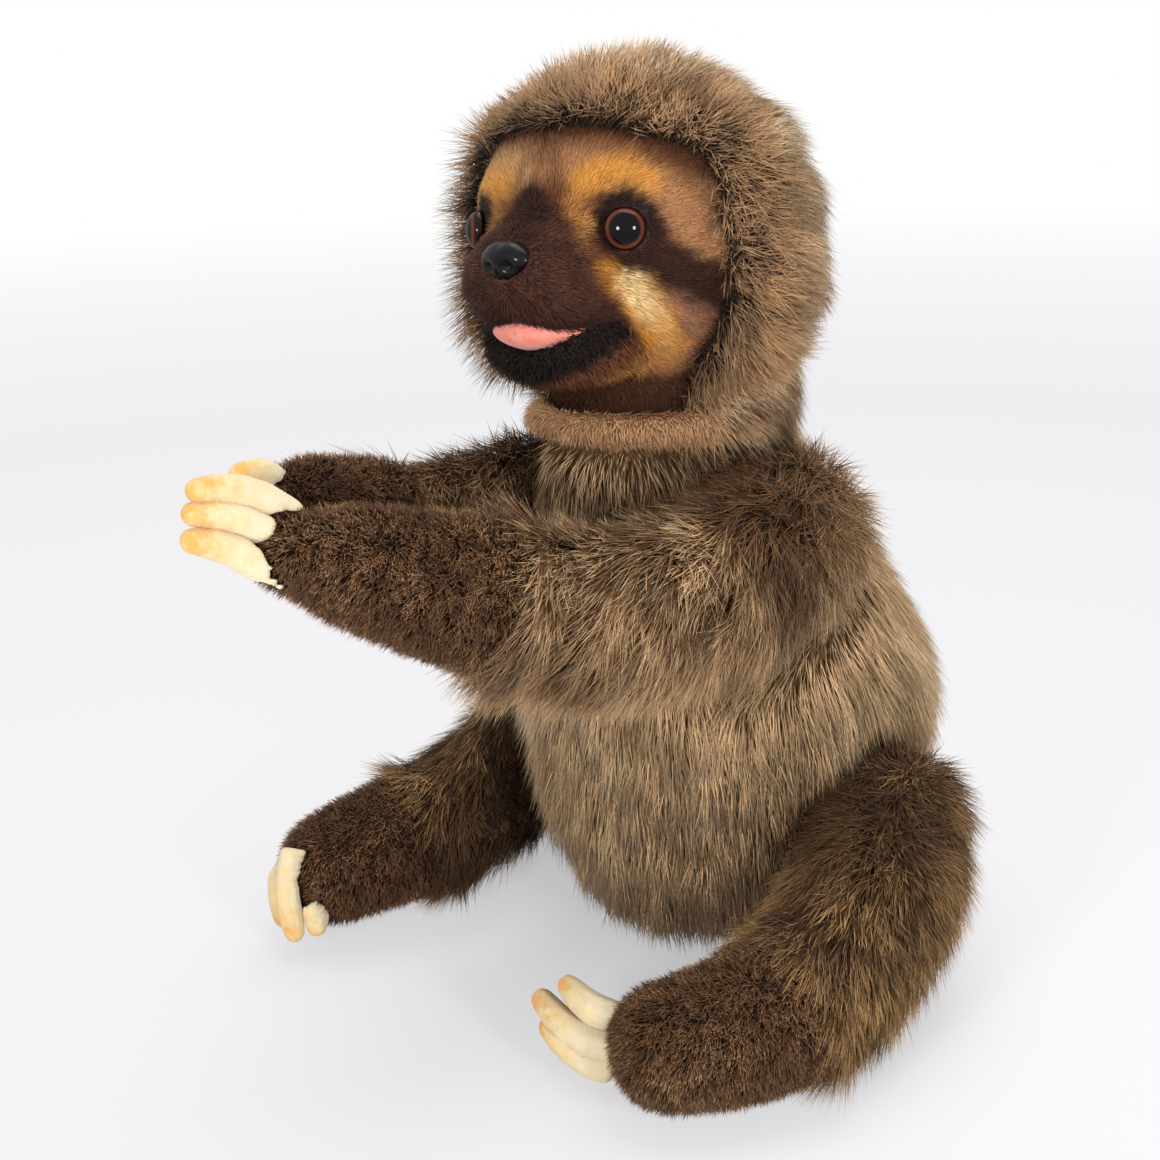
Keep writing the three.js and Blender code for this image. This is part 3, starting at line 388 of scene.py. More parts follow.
def pile_tree():
    """The tree that plants every pile."""
    tree = bpy.data.node_groups.new("pile", "GeometryNodeTree")
    face = tree.interface
    face.new_socket("Geometry", in_out="INPUT", socket_type="NodeSocketGeometry")
    for name, kind in PILE_SOCKETS.items():
        face.new_socket(name, in_out="INPUT", socket_type="NodeSocket" + kind)
    face.new_socket("Geometry", in_out="OUTPUT", socket_type="NodeSocketGeometry")
    given = add(tree, "NodeGroupInput").outputs

    def vectors(kind, *values):
        return add(tree, "ShaderNodeVectorMath", dict(enumerate(values)), operation=kind).outputs[0]

    def named(name, kind="FLOAT"):
        return add(tree, "GeometryNodeInputNamedAttribute", {"Name": name}, data_type=kind).outputs[0]

    def chance(turn, low, high):
        """A number between two, for each tuft."""
        seed = maths(tree, "ADD", given["Seed"], turn)
        made = add(tree, "FunctionNodeRandomValue", {2: low, 3: high, "Seed": seed}, data_type="FLOAT")
        return made.outputs[1]

    def stored(geometry, name, value, kind="FLOAT", domain="POINT"):
        given_here = {"Geometry": geometry, "Name": name, "Value": value}
        return add(tree, "GeometryNodeStoreNamedAttribute", given_here, data_type=kind, domain=domain).outputs[0]

    # Where the tufts stand, and the lock that each belongs to.
    pile = named("pile")
    comb = named("comb", "FLOAT_VECTOR")
    place = add(tree, "GeometryNodeInputPosition").outputs[0]
    sown = {
        "Mesh": given["Geometry"], "Distance Min": given["Spacing"], "Density Max": given["Density"],
        "Density Factor": maths(tree, "MINIMUM", maths(tree, "MULTIPLY", pile, 1 / DENSE_FROM), 1.0),
        "Seed": given["Seed"],
    }
    sown = add(tree, "GeometryNodeDistributePointsOnFaces", sown, distribute_method="POISSON").outputs
    facing = sown["Normal"]
    lock = {"Vector": place, "Scale": maths(tree, "DIVIDE", LOCK_SHARE, given["Lock size"]), "Detail": 1.0}
    lock = add(tree, "ShaderNodeTexNoise", lock, noise_dimensions="3D").outputs["Color"]
    lock = vectors("SUBTRACT", lock, (0.5, 0.5, 0.5))
    cluster = {"Vector": place, "Scale": maths(tree, "DIVIDE", 1.0, given["Lock size"])}
    cluster = add(tree, "ShaderNodeTexVoronoi", cluster, voronoi_dimensions="3D").outputs
    pull = vectors("SUBTRACT", cluster["Position"], place)
    pull = vectors("SUBTRACT", pull, vectors("PROJECT", pull, facing))

    # Which way each tuft points, and its size.
    stray = {0: (-1, -1, -1), 1: (1, 1, 1), "Seed": maths(tree, "ADD", given["Seed"], STRAY_TURN)}
    stray = add(tree, "FunctionNodeRandomValue", stray, data_type="FLOAT_VECTOR").outputs[0]
    upright = scaled(tree, facing, maths(tree, "SUBTRACT", 1.0, given["Lean"]))
    way = vectors("ADD", upright, scaled(tree, comb, given["Lean"]))
    way = vectors("ADD", way, scaled(tree, lock, given["Ruffle"]))
    way = vectors("NORMALIZE", vectors("ADD", way, scaled(tree, stray, given["Stray"])))
    length = maths(tree, "MULTIPLY", given["Length"], pile)
    length = maths(tree, "MULTIPLY", length, chance(LENGTH_TURN, *LENGTH_SPREAD))
    width = maths(tree, "MULTIPLY", given["Width"], chance(WIDTH_TURN, *WIDTH_SPREAD))

    # How far it bends, towards its lock's middle and down.
    hang = vectors("ADD", scaled(tree, comb, HANG_ALONG), (0, 0, HANG_DOWN))
    hang = vectors("ADD", hang, scaled(tree, facing, HANG_IN))
    hang = vectors("ADD", hang, scaled(tree, lock, HANG_LOCK))
    hang = scaled(tree, hang, maths(tree, "MULTIPLY", length, given["Droop"]))
    hang = vectors("ADD", hang, scaled(tree, pull, given["Clump"]))
    tone = add(tree, "ShaderNodeSeparateXYZ", {0: cluster["Color"]}).outputs[0]
    tone = maths(tree, "ADD", maths(tree, "MULTIPLY", tone, LOCK_TONE), chance(TONE_TURN, 0.0, TUFT_TONE))
    points = stored(sown["Points"], "facing", facing, "FLOAT_VECTOR")
    points = stored(points, "bend", hang, "FLOAT_VECTOR")
    points = stored(points, "root", place, "FLOAT_VECTOR")
    points = stored(points, "tone", tone)
    points = stored(points, "cell", add(tree, "GeometryNodeInputIndex").outputs[0], "INT")

    # The blades themselves, bent more and more towards their tips and kept above the floor.
    turned = {0: way, 1: vectors("CROSS_PRODUCT", facing, way)}
    turned = add(tree, "FunctionNodeAxesToRotation", turned, primary_axis="Z", secondary_axis="X").outputs[0]
    size = add(tree, "ShaderNodeCombineXYZ", {0: width, 1: width, 2: length}).outputs[0]
    blade = add(tree, "GeometryNodeObjectInfo", {"Object": given["Tuft"]}).outputs["Geometry"]
    copies = {"Points": points, "Instance": blade, "Rotation": turned, "Scale": size}
    copies = add(tree, "GeometryNodeInstanceOnPoints", copies).outputs[0]
    whole = add(tree, "GeometryNodeRealizeInstances", {0: copies}).outputs[0]
    bent = scaled(tree, named("bend", "FLOAT_VECTOR"), maths(tree, "POWER", named("along"), BEND_POWER))
    moved = add(tree, "ShaderNodeSeparateXYZ", {0: vectors("ADD", place, bent)}).outputs
    kept = {0: moved[0], 1: moved[1], 2: maths(tree, "MAXIMUM", moved[2], TUFT_FLOOR)}
    kept = add(tree, "ShaderNodeCombineXYZ", kept).outputs[0]
    whole = add(tree, "GeometryNodeSetPosition", {"Geometry": whole, "Position": kept}).outputs[0]

    # Each tuft's own square in the map of the whole pile.
    cell, cells = named("cell", "INT"), given["Cells"]
    column = maths(tree, "MODULO", cell, cells)
    row = maths(tree, "FLOOR", maths(tree, "DIVIDE", maths(tree, "ADD", cell, 0.5), cells))
    own = vectors("MULTIPLY_ADD", named("OFBake", "FLOAT_VECTOR"), (CELL_FILLED, CELL_FILLED, 0))
    shift = {0: maths(tree, "ADD", column, CELL_EDGE), 1: maths(tree, "ADD", row, CELL_EDGE), 2: 0.0}
    shift = add(tree, "ShaderNodeCombineXYZ", shift).outputs[0]
    own = scaled(tree, vectors("ADD", own, shift), maths(tree, "DIVIDE", 1.0, cells))
    whole = stored(whole, "OFBake", own, "FLOAT2", "CORNER")
    whole = add(tree, "GeometryNodeSetMaterial", {"Geometry": whole, "Material": given["Material"]}).outputs[0]
    add(tree, "NodeGroupOutput", {0: whole})
    return tree


pile_nodes = pile_tree()


def planted(name, ground, keep, blade, count, seed, material, look):
    """The pile on the points of a form where keep is true, as a mesh of its own."""
    mesh = ground.data.copy()
    made = placed(name, mesh)
    cut = bmesh.new()
    cut.from_mesh(mesh)
    cut.verts.ensure_lookup_table()
    bare = [f for f in cut.faces if not any(keep[v.index] for v in f.verts)]
    bmesh.ops.delete(cut, geom=bare, context="FACES")
    area = sum(f.calc_area() for f in cut.faces)
    cut.to_mesh(mesh)
    cut.free()
    grown = made.modifiers.new("Pile", "NODES")
    grown.node_group = pile_nodes
    values = {
        "Tuft": blade, "Spacing": math.sqrt(SPACING_SHARE * area / count), "Density": TRIES_PER_TUFT * count / area,
        "Seed": seed, "Cells": math.ceil(math.sqrt(count * SPARE_CELLS)), "Material": material,
        **dict(zip(LOOK_SOCKETS, PILES[look])),
    }
    for item in pile_nodes.interface.items_tree:
        if item.in_out == "INPUT" and item.name in values:
            grown[item.identifier] = values[item.name]
    baked(made)
    return made


# What the pile looks like: dark at its roots, partly its dye and partly painted shade deep in the pile; olive brown
# along it, straw at the tips, each tuft lighter or darker.
# Where the form is marked dark, the dark reaches further up the tufts: at a whorl, at the hood's rim, and as painted
# shade round the limbs, at the seat and under the chin.
CLOUD_REACH, SHADE_REACH, MIDDLE_FROM = 0.5, 0.75, 0.32


def linear(code):
    """A colour code as the linear colour that a material takes."""
    parts = [int(code[i : i + 2], 16) / 255 for i in (1, 3, 5)]
    return tuple(c / 12.92 if c < 0.04045 else ((c + 0.055) / 1.055) ** 2.4 for c in parts) + (1,)


def code_ramp(tree, value, *stops):
    """A colour ramp through places and colour codes."""
    return ramp(tree, value, [(place, linear(code)) for place, code in stops])


def attribute(tree, name, kind="Fac"):
    """A value written on a form or on its tufts."""
    return add(tree, "ShaderNodeAttribute", attribute_name=name).outputs[kind]


def noise(tree, at, scale, detail):
    return add(tree, "ShaderNodeTexNoise", {"Vector": at, "Scale": scale, "Detail": detail}).outputs["Fac"]


def spread(tree, value, low, high, **settings):
    """A value between 0 and 1 as one between low and high."""
    given = {"Value": value, "To Min": low, "To Max": high}
    return add(tree, "ShaderNodeMapRange", given, **settings).outputs[0]


def bumped(tree, height, distance, strength):
    given = {"Height": height, "Distance": distance, "Strength": strength}
    return add(tree, "ShaderNodeBump", given).outputs[0]


def pile_material(name, dark, middle, light, variety, tip_from):
    """The dye of long pile, with painted shade darkening its roots; the dark reaches further up where the form is
    marked dark.
    """
    made, tree, surface = new_material(name)
    cloud = noise(tree, attribute(tree, "root", "Vector"), scale=55.0, detail=3.0)
    lifted = maths(tree, "MULTIPLY_ADD", attribute(tree, "shade"), -SHADE_REACH, attribute(tree, "along"))
    lifted = maths(tree, "MULTIPLY_ADD", cloud, CLOUD_REACH, lifted)
    lifted = maths(tree, "SUBTRACT", lifted, CLOUD_REACH / 2, clamp=True)
    colour = code_ramp(tree, lifted, (0.0, dark), (MIDDLE_FROM, middle), (tip_from, middle), (1.0, light))
    bright = spread(tree, attribute(tree, "tone"), 1 - variety, 1 + variety, interpolation_type="SMOOTHSTEP")
    toned = scaled(tree, colour, bright)
    links(tree, surface, {"Base Color": toned, "Roughness": 0.62, "Specular IOR Level": 0.25})
    return made


def ground_material(name, dark, middle):
    """The backing between the tufts: dark, partly its cloth's colour and partly painted shade deep in the pile;
    mottled, and never smooth.
    """
    made, tree, surface = new_material(name)
    mottle = noise(tree, object_place(tree), scale=420.0, detail=4.0)
    colour = code_ramp(tree, mottle, (0.35, dark), (0.75, middle))
    rough = bumped(tree, mottle, distance=0.0012, strength=0.8)
    links(tree, surface, {"Base Color": colour, "Normal": rough, "Roughness": 0.95, "Specular IOR Level": 0.1})
    return made


body_fur = pile_material("body_fur", "#5c432c", "#bf9e76", "#ffefd2", variety=0.5, tip_from=0.75)
hood_fur = pile_material("hood_fur", "#35241a", "#a07c58", "#ffe8c4", variety=0.6, tip_from=0.75)
arm_fur = pile_material("arm_fur", "#1f130a", "#64462c", "#e6c192", variety=0.68, tip_from=0.6)
leg_fur = pile_material("leg_fur", "#150c06", "#452e18", "#d0a46c", variety=0.7, tip_from=0.6)
paw_fur = pile_material("paw_fur", "#20130c", "#573a24", "#dcae7a", variety=0.65, tip_from=0.75)
fur_ground = ground_material("fur_ground", "#2c1e13", "#5e452d")
paw_ground = ground_material("paw_ground", "#251811", "#4c3422")
body_ground = ground_material("body_ground", "#4a3523", "#806243")


# The body: a firm pear of backing cloth over fibre, with a pellet bag in the seat. Its pile hangs down all round.
# It is shorter under the chin, crushed short where the limbs turn, and pressed short at the seat, and in all three
# places darker with painted shade.
JOINTS = {j["name"]: (np.array(j["pos_m"]), np.array(j["axis"])) for j in frame["joints"]}
BODY_CLOTH, BODY_HALF_WIDTH, SPREAD_ASIDE, SPREAD_BACK = 0.0014, 0.07, 0.35, 0.15
LIMB_SHORT, LIMB_SHORTEST, LIMB_DARK, LIMB_SHADE = (0.003, 0.009), 0.3, (0.006, 0.02), 0.3
LIMB_FLAT, COMB_KEPT = (0.004, 0.009), 0.3
SEAT, SEAT_SHORTEST, SEAT_SHADE, SEAT_BARE = (0.004, 0.02), 0.35, 0.3, 0.0045
NECK_TOP, NECK_BARE = 0.0085, (0.97, 0.6)
CHEST_BOTTOM, CHEST_TOP, CHEST_FRONT, CHEST_SHORTER, CHEST_SHADE = 0.045, 0.012, (0, 0.03), 0.35, 0.45
FRONT_FROM = -0.012


def settle(piece, body, nodes=()):
    """Puts a piece on the body it rides on, and hides the CAD nodes that it stands for."""
    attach(piece, body)
    if nodes:
        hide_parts(*nodes)


body = smooth_form("body_form", ["body_stuffing", "pellet_bag"], voxel=0.0028, rounds=14)
padded_out(body, BODY_CLOTH)
at, facing = places(body), facings(body)
clear = gap_to(at, ["arm_skin_left", "arm_skin_right", "leg_skin_left", "leg_skin_right"])
neck_height = JOINTS["neck_turn"][0][2]
x, y, z = at.T
high = step(z, *SEAT)
chest = step(z, neck_height - CHEST_BOTTOM, neck_height - CHEST_TOP) * step(-y, *CHEST_FRONT)
comb = [SPREAD_ASIDE * x / BODY_HALF_WIDTH, SPREAD_BACK * y / BODY_HALF_WIDTH, -np.ones(len(at))]
pile = np.maximum(step(clear, *LIMB_SHORT), LIMB_SHORTEST) * (SEAT_SHORTEST + (1 - SEAT_SHORTEST) * high)
pile *= np.where(z > neck_height - NECK_TOP, step(facing[:, 2], *NECK_BARE), 1)
pile *= np.where(z < SEAT_BARE, 0, 1)
pile *= 1 - CHEST_SHORTER * chest
# Painted shade: darker round the limbs, low at the seat and on the chest under the chin.
dark = LIMB_SHADE * (1 - step(clear, *LIMB_DARK)) + SEAT_SHADE * (1 - high) + CHEST_SHADE * chest
groomed(body, np.column_stack(comb), pile, dark, COMB_KEPT + (1 - COMB_KEPT) * step(clear, *LIMB_FLAT))
body.data.materials.append(body_ground)
settle(body, "body", ["body_stuffing", "pellet_bag"])
in_front, on_left = y < FRONT_FROM, x >= 0
for part, keep, count, seed in (
    ("front", in_front, 32000, 3),
    ("left", ~in_front & on_left, 28000, 4),
    ("right", ~in_front & ~on_left, 23000, 5),
):
    piece = planted(f"body_pile_{part}", body, keep, long_tuft, count, seed, body_fur, "body")
    settle(piece, "body", ["body_skin"])


# The limbs: stuffed sausages on buttons. Long pile grows outwards from a whorl over each button, down to a paw of
# short curled pile. Where the limb turns on the body the pile is crushed short, and stands upright.
LIMBS = [
    # limb, paw, side, tufts of long pile, tufts of short pile, seed
    ("arm", "hand_sleeve", "left", 32000, 24000, 11),
    ("arm", "hand_sleeve", "right", 18000, 13000, 21),
    ("leg", "foot_skin", "left", 32000, 24000, 31),
    ("leg", "foot_skin", "right", 21000, 14000, 41),
]
WHORLS = {"arm": (0.0593, -0.0362, 0.1667), "leg": (0.0886, -0.0233, 0.0721)}
WHORL_REACH, WHORL_DARK, WHORL_SHADE = 0.03, (0.004, 0.03), 0.32
LIMB_CLOTH, PAW_PLUMPNESS, PAW_SEAM, OVERLAP = 0.0012, 0.0026, 0.004, 0.05
BUTTON_SHORT, BUTTON_SHORTEST, BUTTON_FLAT = (0.002, 0.008), 0.32, (0.003, 0.009)
BUTTON_DARK, BUTTON_SHADE = (0.006, 0.016), 0.3
UNDERSIDE, UNDER_LEAST, UNDER_MORE, CLAW_BARE = (0.003, 0.012), 0.55, 0.45, (0, 0.0012)
COMB_OUT, COMB_NEAR, COMB_DOWN = 0.3, 0.6, np.array([0, 0, -0.4])
TOUSLE, TOUSLE_FAR, FINE_WAVES = 0.6, 0.4, 1.7
WAVES = ((420, 310, -260), (-350, 450, 210), (260, -330, 400))


def middle_of(node):
    return np.array([(a + b) / 2 for a, b in zip(*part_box(node))])


def limb(kind, paw_kind, side, count, paw_count, seed):
    sign = 1 if side == "left" else -1
    rides_on = f"{kind}_{side}"
    stuffing, skin, paw = f"{kind}_stuffing_{side}", f"{kind}_skin_{side}", f"{paw_kind}_{side}"
    claws = [f"{paw_kind.split('_')[0]}_claw_{side}_{k}" for k in (1, 2, 3)]
    form = smooth_form(f"{kind}_form_{side}", [stuffing], voxel=0.0022, rounds=10)
    at = places(form)
    pawness = step(gap_to(at, [skin]) - gap_to(at, [paw]), -PAW_SEAM, PAW_SEAM)
    padded_out(form, LIMB_CLOTH + PAW_PLUMPNESS * pawness)
    at = places(form)

    # Combed out from the whorl, then along the limb and down, and tousled.
    whorl = np.array(WHORLS[kind]) * (sign, 1, 1)
    along = unit((middle_of(paw) - whorl)[None])
    away = at - whorl
    reach = np.linalg.norm(away, axis=1)
    near = np.exp(-((reach / WHORL_REACH) ** 2))[:, None]
    tousled = np.column_stack([np.sin(at @ wave) + np.sin(at[:, ::-1] @ wave * FINE_WAVES) for wave in WAVES])
    comb = unit(away) * (COMB_OUT + COMB_NEAR * near) + along * (1 - COMB_NEAR * near) + COMB_DOWN
    comb = comb + TOUSLE * tousled * (TOUSLE_FAR + near)

    # Short at the button and on the underside, bare at the claws' roots, dark at the whorl, and darker at the button
    # with painted shade where the limb meets the body.
    joint, axis = JOINTS[f"{side}_{kind}_raise"]
    beyond = (at - joint) @ (axis * np.sign(axis[0]) * sign)
    pile = np.maximum(step(beyond, *BUTTON_SHORT), BUTTON_SHORTEST)
    pile *= UNDER_LEAST + UNDER_MORE * step(at[:, 2], *UNDERSIDE)
    pile *= np.where(pawness > 0.5, step(gap_to(at, claws), *CLAW_BARE), 1)
    # Painted shade at the button, where the limb meets the body.
    dark = WHORL_SHADE * (1 - step(reach, *WHORL_DARK)) + BUTTON_SHADE * (1 - step(beyond, *BUTTON_DARK))
    groomed(form, comb, pile, dark, COMB_KEPT + (1 - COMB_KEPT) * step(beyond, *BUTTON_FLAT))
    form.data.materials.append(fur_ground)
    form.data.materials.append(paw_ground)
    for face in form.data.polygons:
        face.material_index = int(pawness[face.vertices[0]] > 0.5)
    settle(form, rides_on, [stuffing])
    fur = arm_fur if kind == "arm" else leg_fur
    keep = pawness <= 0.5 + OVERLAP
    long_pile = planted(f"{kind}_pile_{side}", form, keep, long_tuft, count, seed, fur, kind)
    settle(long_pile, rides_on, [skin])
    keep = pawness > 0.5 - OVERLAP
    short_pile = planted(f"{paw_kind}_pile_{side}", form, keep, short_tuft, paw_count, seed + 1, paw_fur, "paw")
    settle(short_pile, rides_on, [paw])


for row in LIMBS:
    limb(*row)


# The claws: fingers of cream velour, stuffed hard and brushed golden towards their tips.
# Each has a fine nap that catches the light at its edges, and a root drawn a little into the paw.
CLAW_NAP, CLAW_ROOT, ROOT_SHARE = 0.0006, 0.003, 0.35
BLUSH, BLUSH_FROM, SOFTNESS = 1.3, 0.68, 2.0


def velour_material(name, root, middle, tip):
    made, tree, surface = new_material(name)
    here = object_place(tree)
    blush = noise(tree, here, scale=260.0, detail=3.0)
    where = maths(tree, "MULTIPLY_ADD", blush, BLUSH, attribute(tree, "along"))
    where = maths(tree, "SUBTRACT", where, BLUSH_FROM, clamp=True)
    colour = code_ramp(tree, where, (0.15, root), (0.62, middle), (1.0, tip))
    nap, soft = noise(tree, here, scale=2600.0, detail=2.0), noise(tree, here, scale=420.0, detail=2.0)
    rough = bumped(tree, maths(tree, "MULTIPLY_ADD", soft, SOFTNESS, nap), distance=0.0004, strength=0.7)
    links(tree, surface, {"Base Color": colour, "Normal": rough, "Roughness": 0.9})
    links(tree, surface, {"Specular IOR Level": 0.15, "Sheen Weight": 0.35})
    return made


def claw(name, body_name, paw_node):
    made = smooth_form("soft_" + name, [name], voxel=0.0006, rounds=6)
    padded_out(made, CLAW_NAP)
    at, paw_middle = places(made), middle_of(paw_node)
    far = np.linalg.norm(at - paw_middle, axis=1)
    rooted = 1 - step(far, far.min(), far.min() + ROOT_SHARE * np.ptp(far))
    at += (paw_middle - at) / far[:, None] * (CLAW_ROOT * rooted)[:, None]
    reshaped(made, at)
    marked(made, "along", (far - far.min()) / np.ptp(far))
    made.data.materials.append(claw_velour)
    settle(made, body_name, [name])


claw_velour = velour_material("claw_velour", "#d9c9a8", "#d8bf8e", "#d79f52")
for side in ("left", "right"):
    for k in (1, 2, 3):
        claw(f"hand_claw_{side}_{k}", f"arm_{side}", f"hand_sleeve_{side}")
        claw(f"foot_claw_{side}_{k}", f"leg_{side}", f"foot_skin_{side}")


# The head: one stuffed ball with a muzzle and a jaw, covered by a hood of long pile round a face of short pile.
# The hood's pile stands up from a dark rim round the face and sweeps back and down over the neck.
HOOD, FACE, MUZZLE, JAW = range(4)
COVERS = ["head_hood", "face_panel", "muzzle_cover", "jaw_cover"]
TURNED, ROLLED = math.radians(1), math.radians(-3.2)
HOOD_CLOTH, JOWL_PLUMPNESS, JAW_PLUMPNESS = 0.0014, 0.0035, 0.0006
JOWL_DROP, JOWL_HEIGHT, JOWL_SIDE = 0.036, 0.014, (0.028, 0.042)
RUFF_PLUMPNESS, RUFF_RIGHT, RUFF_LEFT = 0.0045, 1.4, 0.8
RUFF_SIDE, RUFF_DEPTH, RUFF_BOTTOM = (0.03, 0.045), (-0.02, -0.004), (-0.045, -0.03)
PILE_ROOM, THINNEST, THICKEST = 0.001, 0.0008, 0.006
RIM_HALF_WIDTH, RIM_HALF_HEIGHT, RIM_DROP, RIM_SQUARE = 0.055, 0.04, 0.009, 2.5
RIM_SIZE, RIM_DEPTH = 0.045, 0.0162
RIM_DARK, RIM_SHADE, RIM_RISING, RIM_UPRIGHT = (0.001, 0.012), 0.6, (0.003, 0.03), 0.85
CHIN_FRONT, CHIN_TOP, CHIN_SIDE, FACE_BOTTOM = -0.012, -0.034, 0.034, -0.04
BACK, COMB_FRONT, COMB_BACK = (0.0, 0.055), np.array([0, 0.9, -0.25]), np.array([0, 0, -0.8])
SIDES, FAR_SIDE = (0.03, 0.048), (0.03, 0.045)
HOOD_LENGTH, SIDE_SHORTER, SIDE_RISE, FAR_RISE = 0.97, 0.08, 0.1, 0.42
NECK_HEM, HARD_BARE = (0.001, 0.006), (0.0002, 0.0012)

head_place = np.array([0, -0.0399, 0.2421])
head_turn = np.array(Matrix.Rotation(TURNED, 3, "Z") @ Matrix.Rotation(ROLLED, 3, "Y"))
head = smooth_form("head_form", ["head_stuffing"], voxel=0.0016, rounds=12)
at = places(head)
nearest = np.argmin([gap_to(at, [cover]) for cover in COVERS], axis=0)
room = room_over(head, COVERS[1:], far=0.012)
for k in (FACE, MUZZLE, JAW):
    room[(nearest == k) & np.isnan(room)] = np.nanmedian(room[nearest == k])
x, y, z = ((at - head_place) @ head_turn).T
aside = np.abs(x)
jowl = np.exp(-(((z + JOWL_DROP) / JOWL_HEIGHT) ** 2)) * step(aside, *JOWL_SIDE)
ruff = RUFF_PLUMPNESS * step(aside, *RUFF_SIDE) * step(-y, *RUFF_DEPTH) * step(z, *RUFF_BOTTOM)
ruff *= np.where(x < 0, RUFF_RIGHT, RUFF_LEFT)
hood_padding = HOOD_CLOTH + JOWL_PLUMPNESS * jowl + ruff
face_padding = np.clip(room - PILE_ROOM, THINNEST, THICKEST) + JAW_PLUMPNESS * (nearest == JAW)
padded_out(head, evened(head, np.where(nearest == HOOD, hood_padding, face_padding), rounds=8))

# Which cover each point lies under, once the hood's pile falls over the strip of the face next to it.
at = places(head)
own = (at - head_place) @ head_turn
x, y, z = own.T
aside = np.abs(x)
rim = np.abs(x / RIM_HALF_WIDTH) ** RIM_SQUARE + np.abs((z + RIM_DROP) / RIM_HALF_HEIGHT) ** RIM_SQUARE
rim_gap = np.maximum((rim ** (1 / RIM_SQUARE) - 1) * RIM_SIZE, y + RIM_DEPTH)
under_chin = (y < CHIN_FRONT) & (z < CHIN_TOP) & (aside < CHIN_SIDE)
nearest = np.where((nearest == HOOD) & ((rim_gap < 0) | under_chin), FACE, nearest)
nearest = np.where((nearest == FACE) & (rim_gap > 0) & ~under_chin & (z > FACE_BOTTOM), HOOD, nearest)
on_hood, on_face, on_muzzle, on_jaw = (nearest == k for k in range(4))

# How it is combed, and how long it is.
zeros, ones = np.zeros(len(at)), np.ones(len(at))
back = step(y, *BACK)[:, None]
comb_hood = unit(np.column_stack([x, zeros, z + RIM_DROP])) * (1 - 0.75 * back)
comb_hood = comb_hood + COMB_FRONT * (1 - 0.5 * back) + COMB_BACK * back
comb_face = unit(np.column_stack([x, 0.3 * aside, z + 0.004]))
comb_muzzle = np.column_stack([np.sign(x) * (0.35 + aside / 0.02), 0.7 * ones, -0.25 * ones])
comb_jaw = np.column_stack([x / 0.03, 0.3 * ones, -0.8 * ones])
covered = [on_hood[:, None], on_face[:, None], on_muzzle[:, None]]
comb = np.select(covered, [comb_hood, comb_face, comb_muzzle], comb_jaw) @ head_turn.T
sides, far_side = step(aside, *SIDES), step(-x, *FAR_SIDE)
rising = 1 - step(rim_gap, *RIM_RISING)
hem = step(at[:, 2], neck_height + NECK_HEM[0], neck_height + NECK_HEM[1])
hood_length = HOOD_LENGTH - SIDE_SHORTER * sides + (SIDE_RISE + FAR_RISE * far_side) * sides * rising
face_length = step(gap_to(at, ["eye_left", "eye_right", "nose"]), *HARD_BARE)
pile = np.where(on_hood, hood_length * hem, face_length)
dark = np.where(on_hood, RIM_SHADE * (1 - step(rim_gap, *RIM_DARK)), 0)
groomed(head, comb, pile, dark, np.where(on_hood, 1 - RIM_UPRIGHT * rising, 1))


# The airbrush. Strokes in degrees across the face, measured from its middle: how far to the side, and how far up.
# Later strokes lie over earlier ones. Both sides are painted alike, but for the strokes at negative degrees,
# on the right side alone, which are painted light: they make the right brow lighter, where more light falls.
FACE_STROKES = [
    # colour, half-width, softness, strength, points
    ("#b5825a", 11, 8, 0.9, [(5, 33), (25, 32), (46, 25), (60, 12), (70, -6)]),
    ("#cd9566", 5.5, 7, 0.85, [(8, 28), (24, 27), (50, 20), (61, 7), (68, -8)]),
    ("#c38a4c", 4.5, 6, 0.9, [(30, 22), (21, 18), (20, 11), (24, 6)]),
    ("#eeab50", 5.5, 8, 0.95, [(24, 21), (32, 24), (40, 24), (47, 20)]),
    # Painted light: the right brow and forehead lighter than the left, where more light falls.
    ("#eebd86", 8, 13, 0.75, [(-8, 27), (-22, 30), (-38, 29), (-48, 24)]),
    ("#f6b45c", 4.5, 7, 0.85, [(-15, 21), (-28, 23), (-44, 20)]),
    ("#7d4b30", 3.5, 6, 0.5, [(8, 32), (11, 20)]),
    ("#b58163", 12, 9, 0.85, [(64, -22), (66, -36), (60, -44)]),
    ("#6f4733", 6, 7, 0.6, [(62, -16), (70, -22)]),
    ("#dd9436", 7.5, 6, 0.95, [(37, -11), (41, -18), (48, -27), (53, -38)]),
    ("#ffdfa6", 5, 7, 1.0, [(40, -13), (42, -18), (47, -24)]),
    ("#f0bd78", 3.5, 6, 0.7, [(47, -24), (53, -34)]),
    ("#c8935c", 6, 7, 0.85, [(52, -42), (58, -44)]),
    ("#c68b50", 5, 7, 0.8, [(28, -48), (44, -47), (52, -46)]),
    ("#33201a", 11.5, 4, 1.0, [(39, 6), (41.5, 3)]),
    ("#3c2219", 6.8, 5, 0.97, [(42, -3), (49, -5.5), (56, -9.5), (64, -13.5), (72, -17)]),
    ("#6a4028", 3.2, 8, 0.5, [(0, 16), (0, 44)]),
    ("#653820", 6, 9, 0.85, [(0, 43), (30, 42), (50, 35), (62, 24)]),
]
MUZZLE_STROKES = [
    ("#35201a", 8, 10, 0.8, [(0, 8), (0, 22)]),
    ("#2e1c15", 6, 10, 0.7, [(6, -24), (40, -34)]),
]
MUZZLE_LIFTS = (-43, -39.5, -37, -35, -33, -27, -18, -6, 0, 7, 12, 18, 24)
MUZZLE_SIDES = (-6, 5, 16, 26, 41, 38, 33, 28, 23, 17, 12, 7, -6)
EDGE_WAVES = [((900, 410, 700), (-1700, 900, 1300)), ((600, -800, 1100), (1900, 700, -900))]
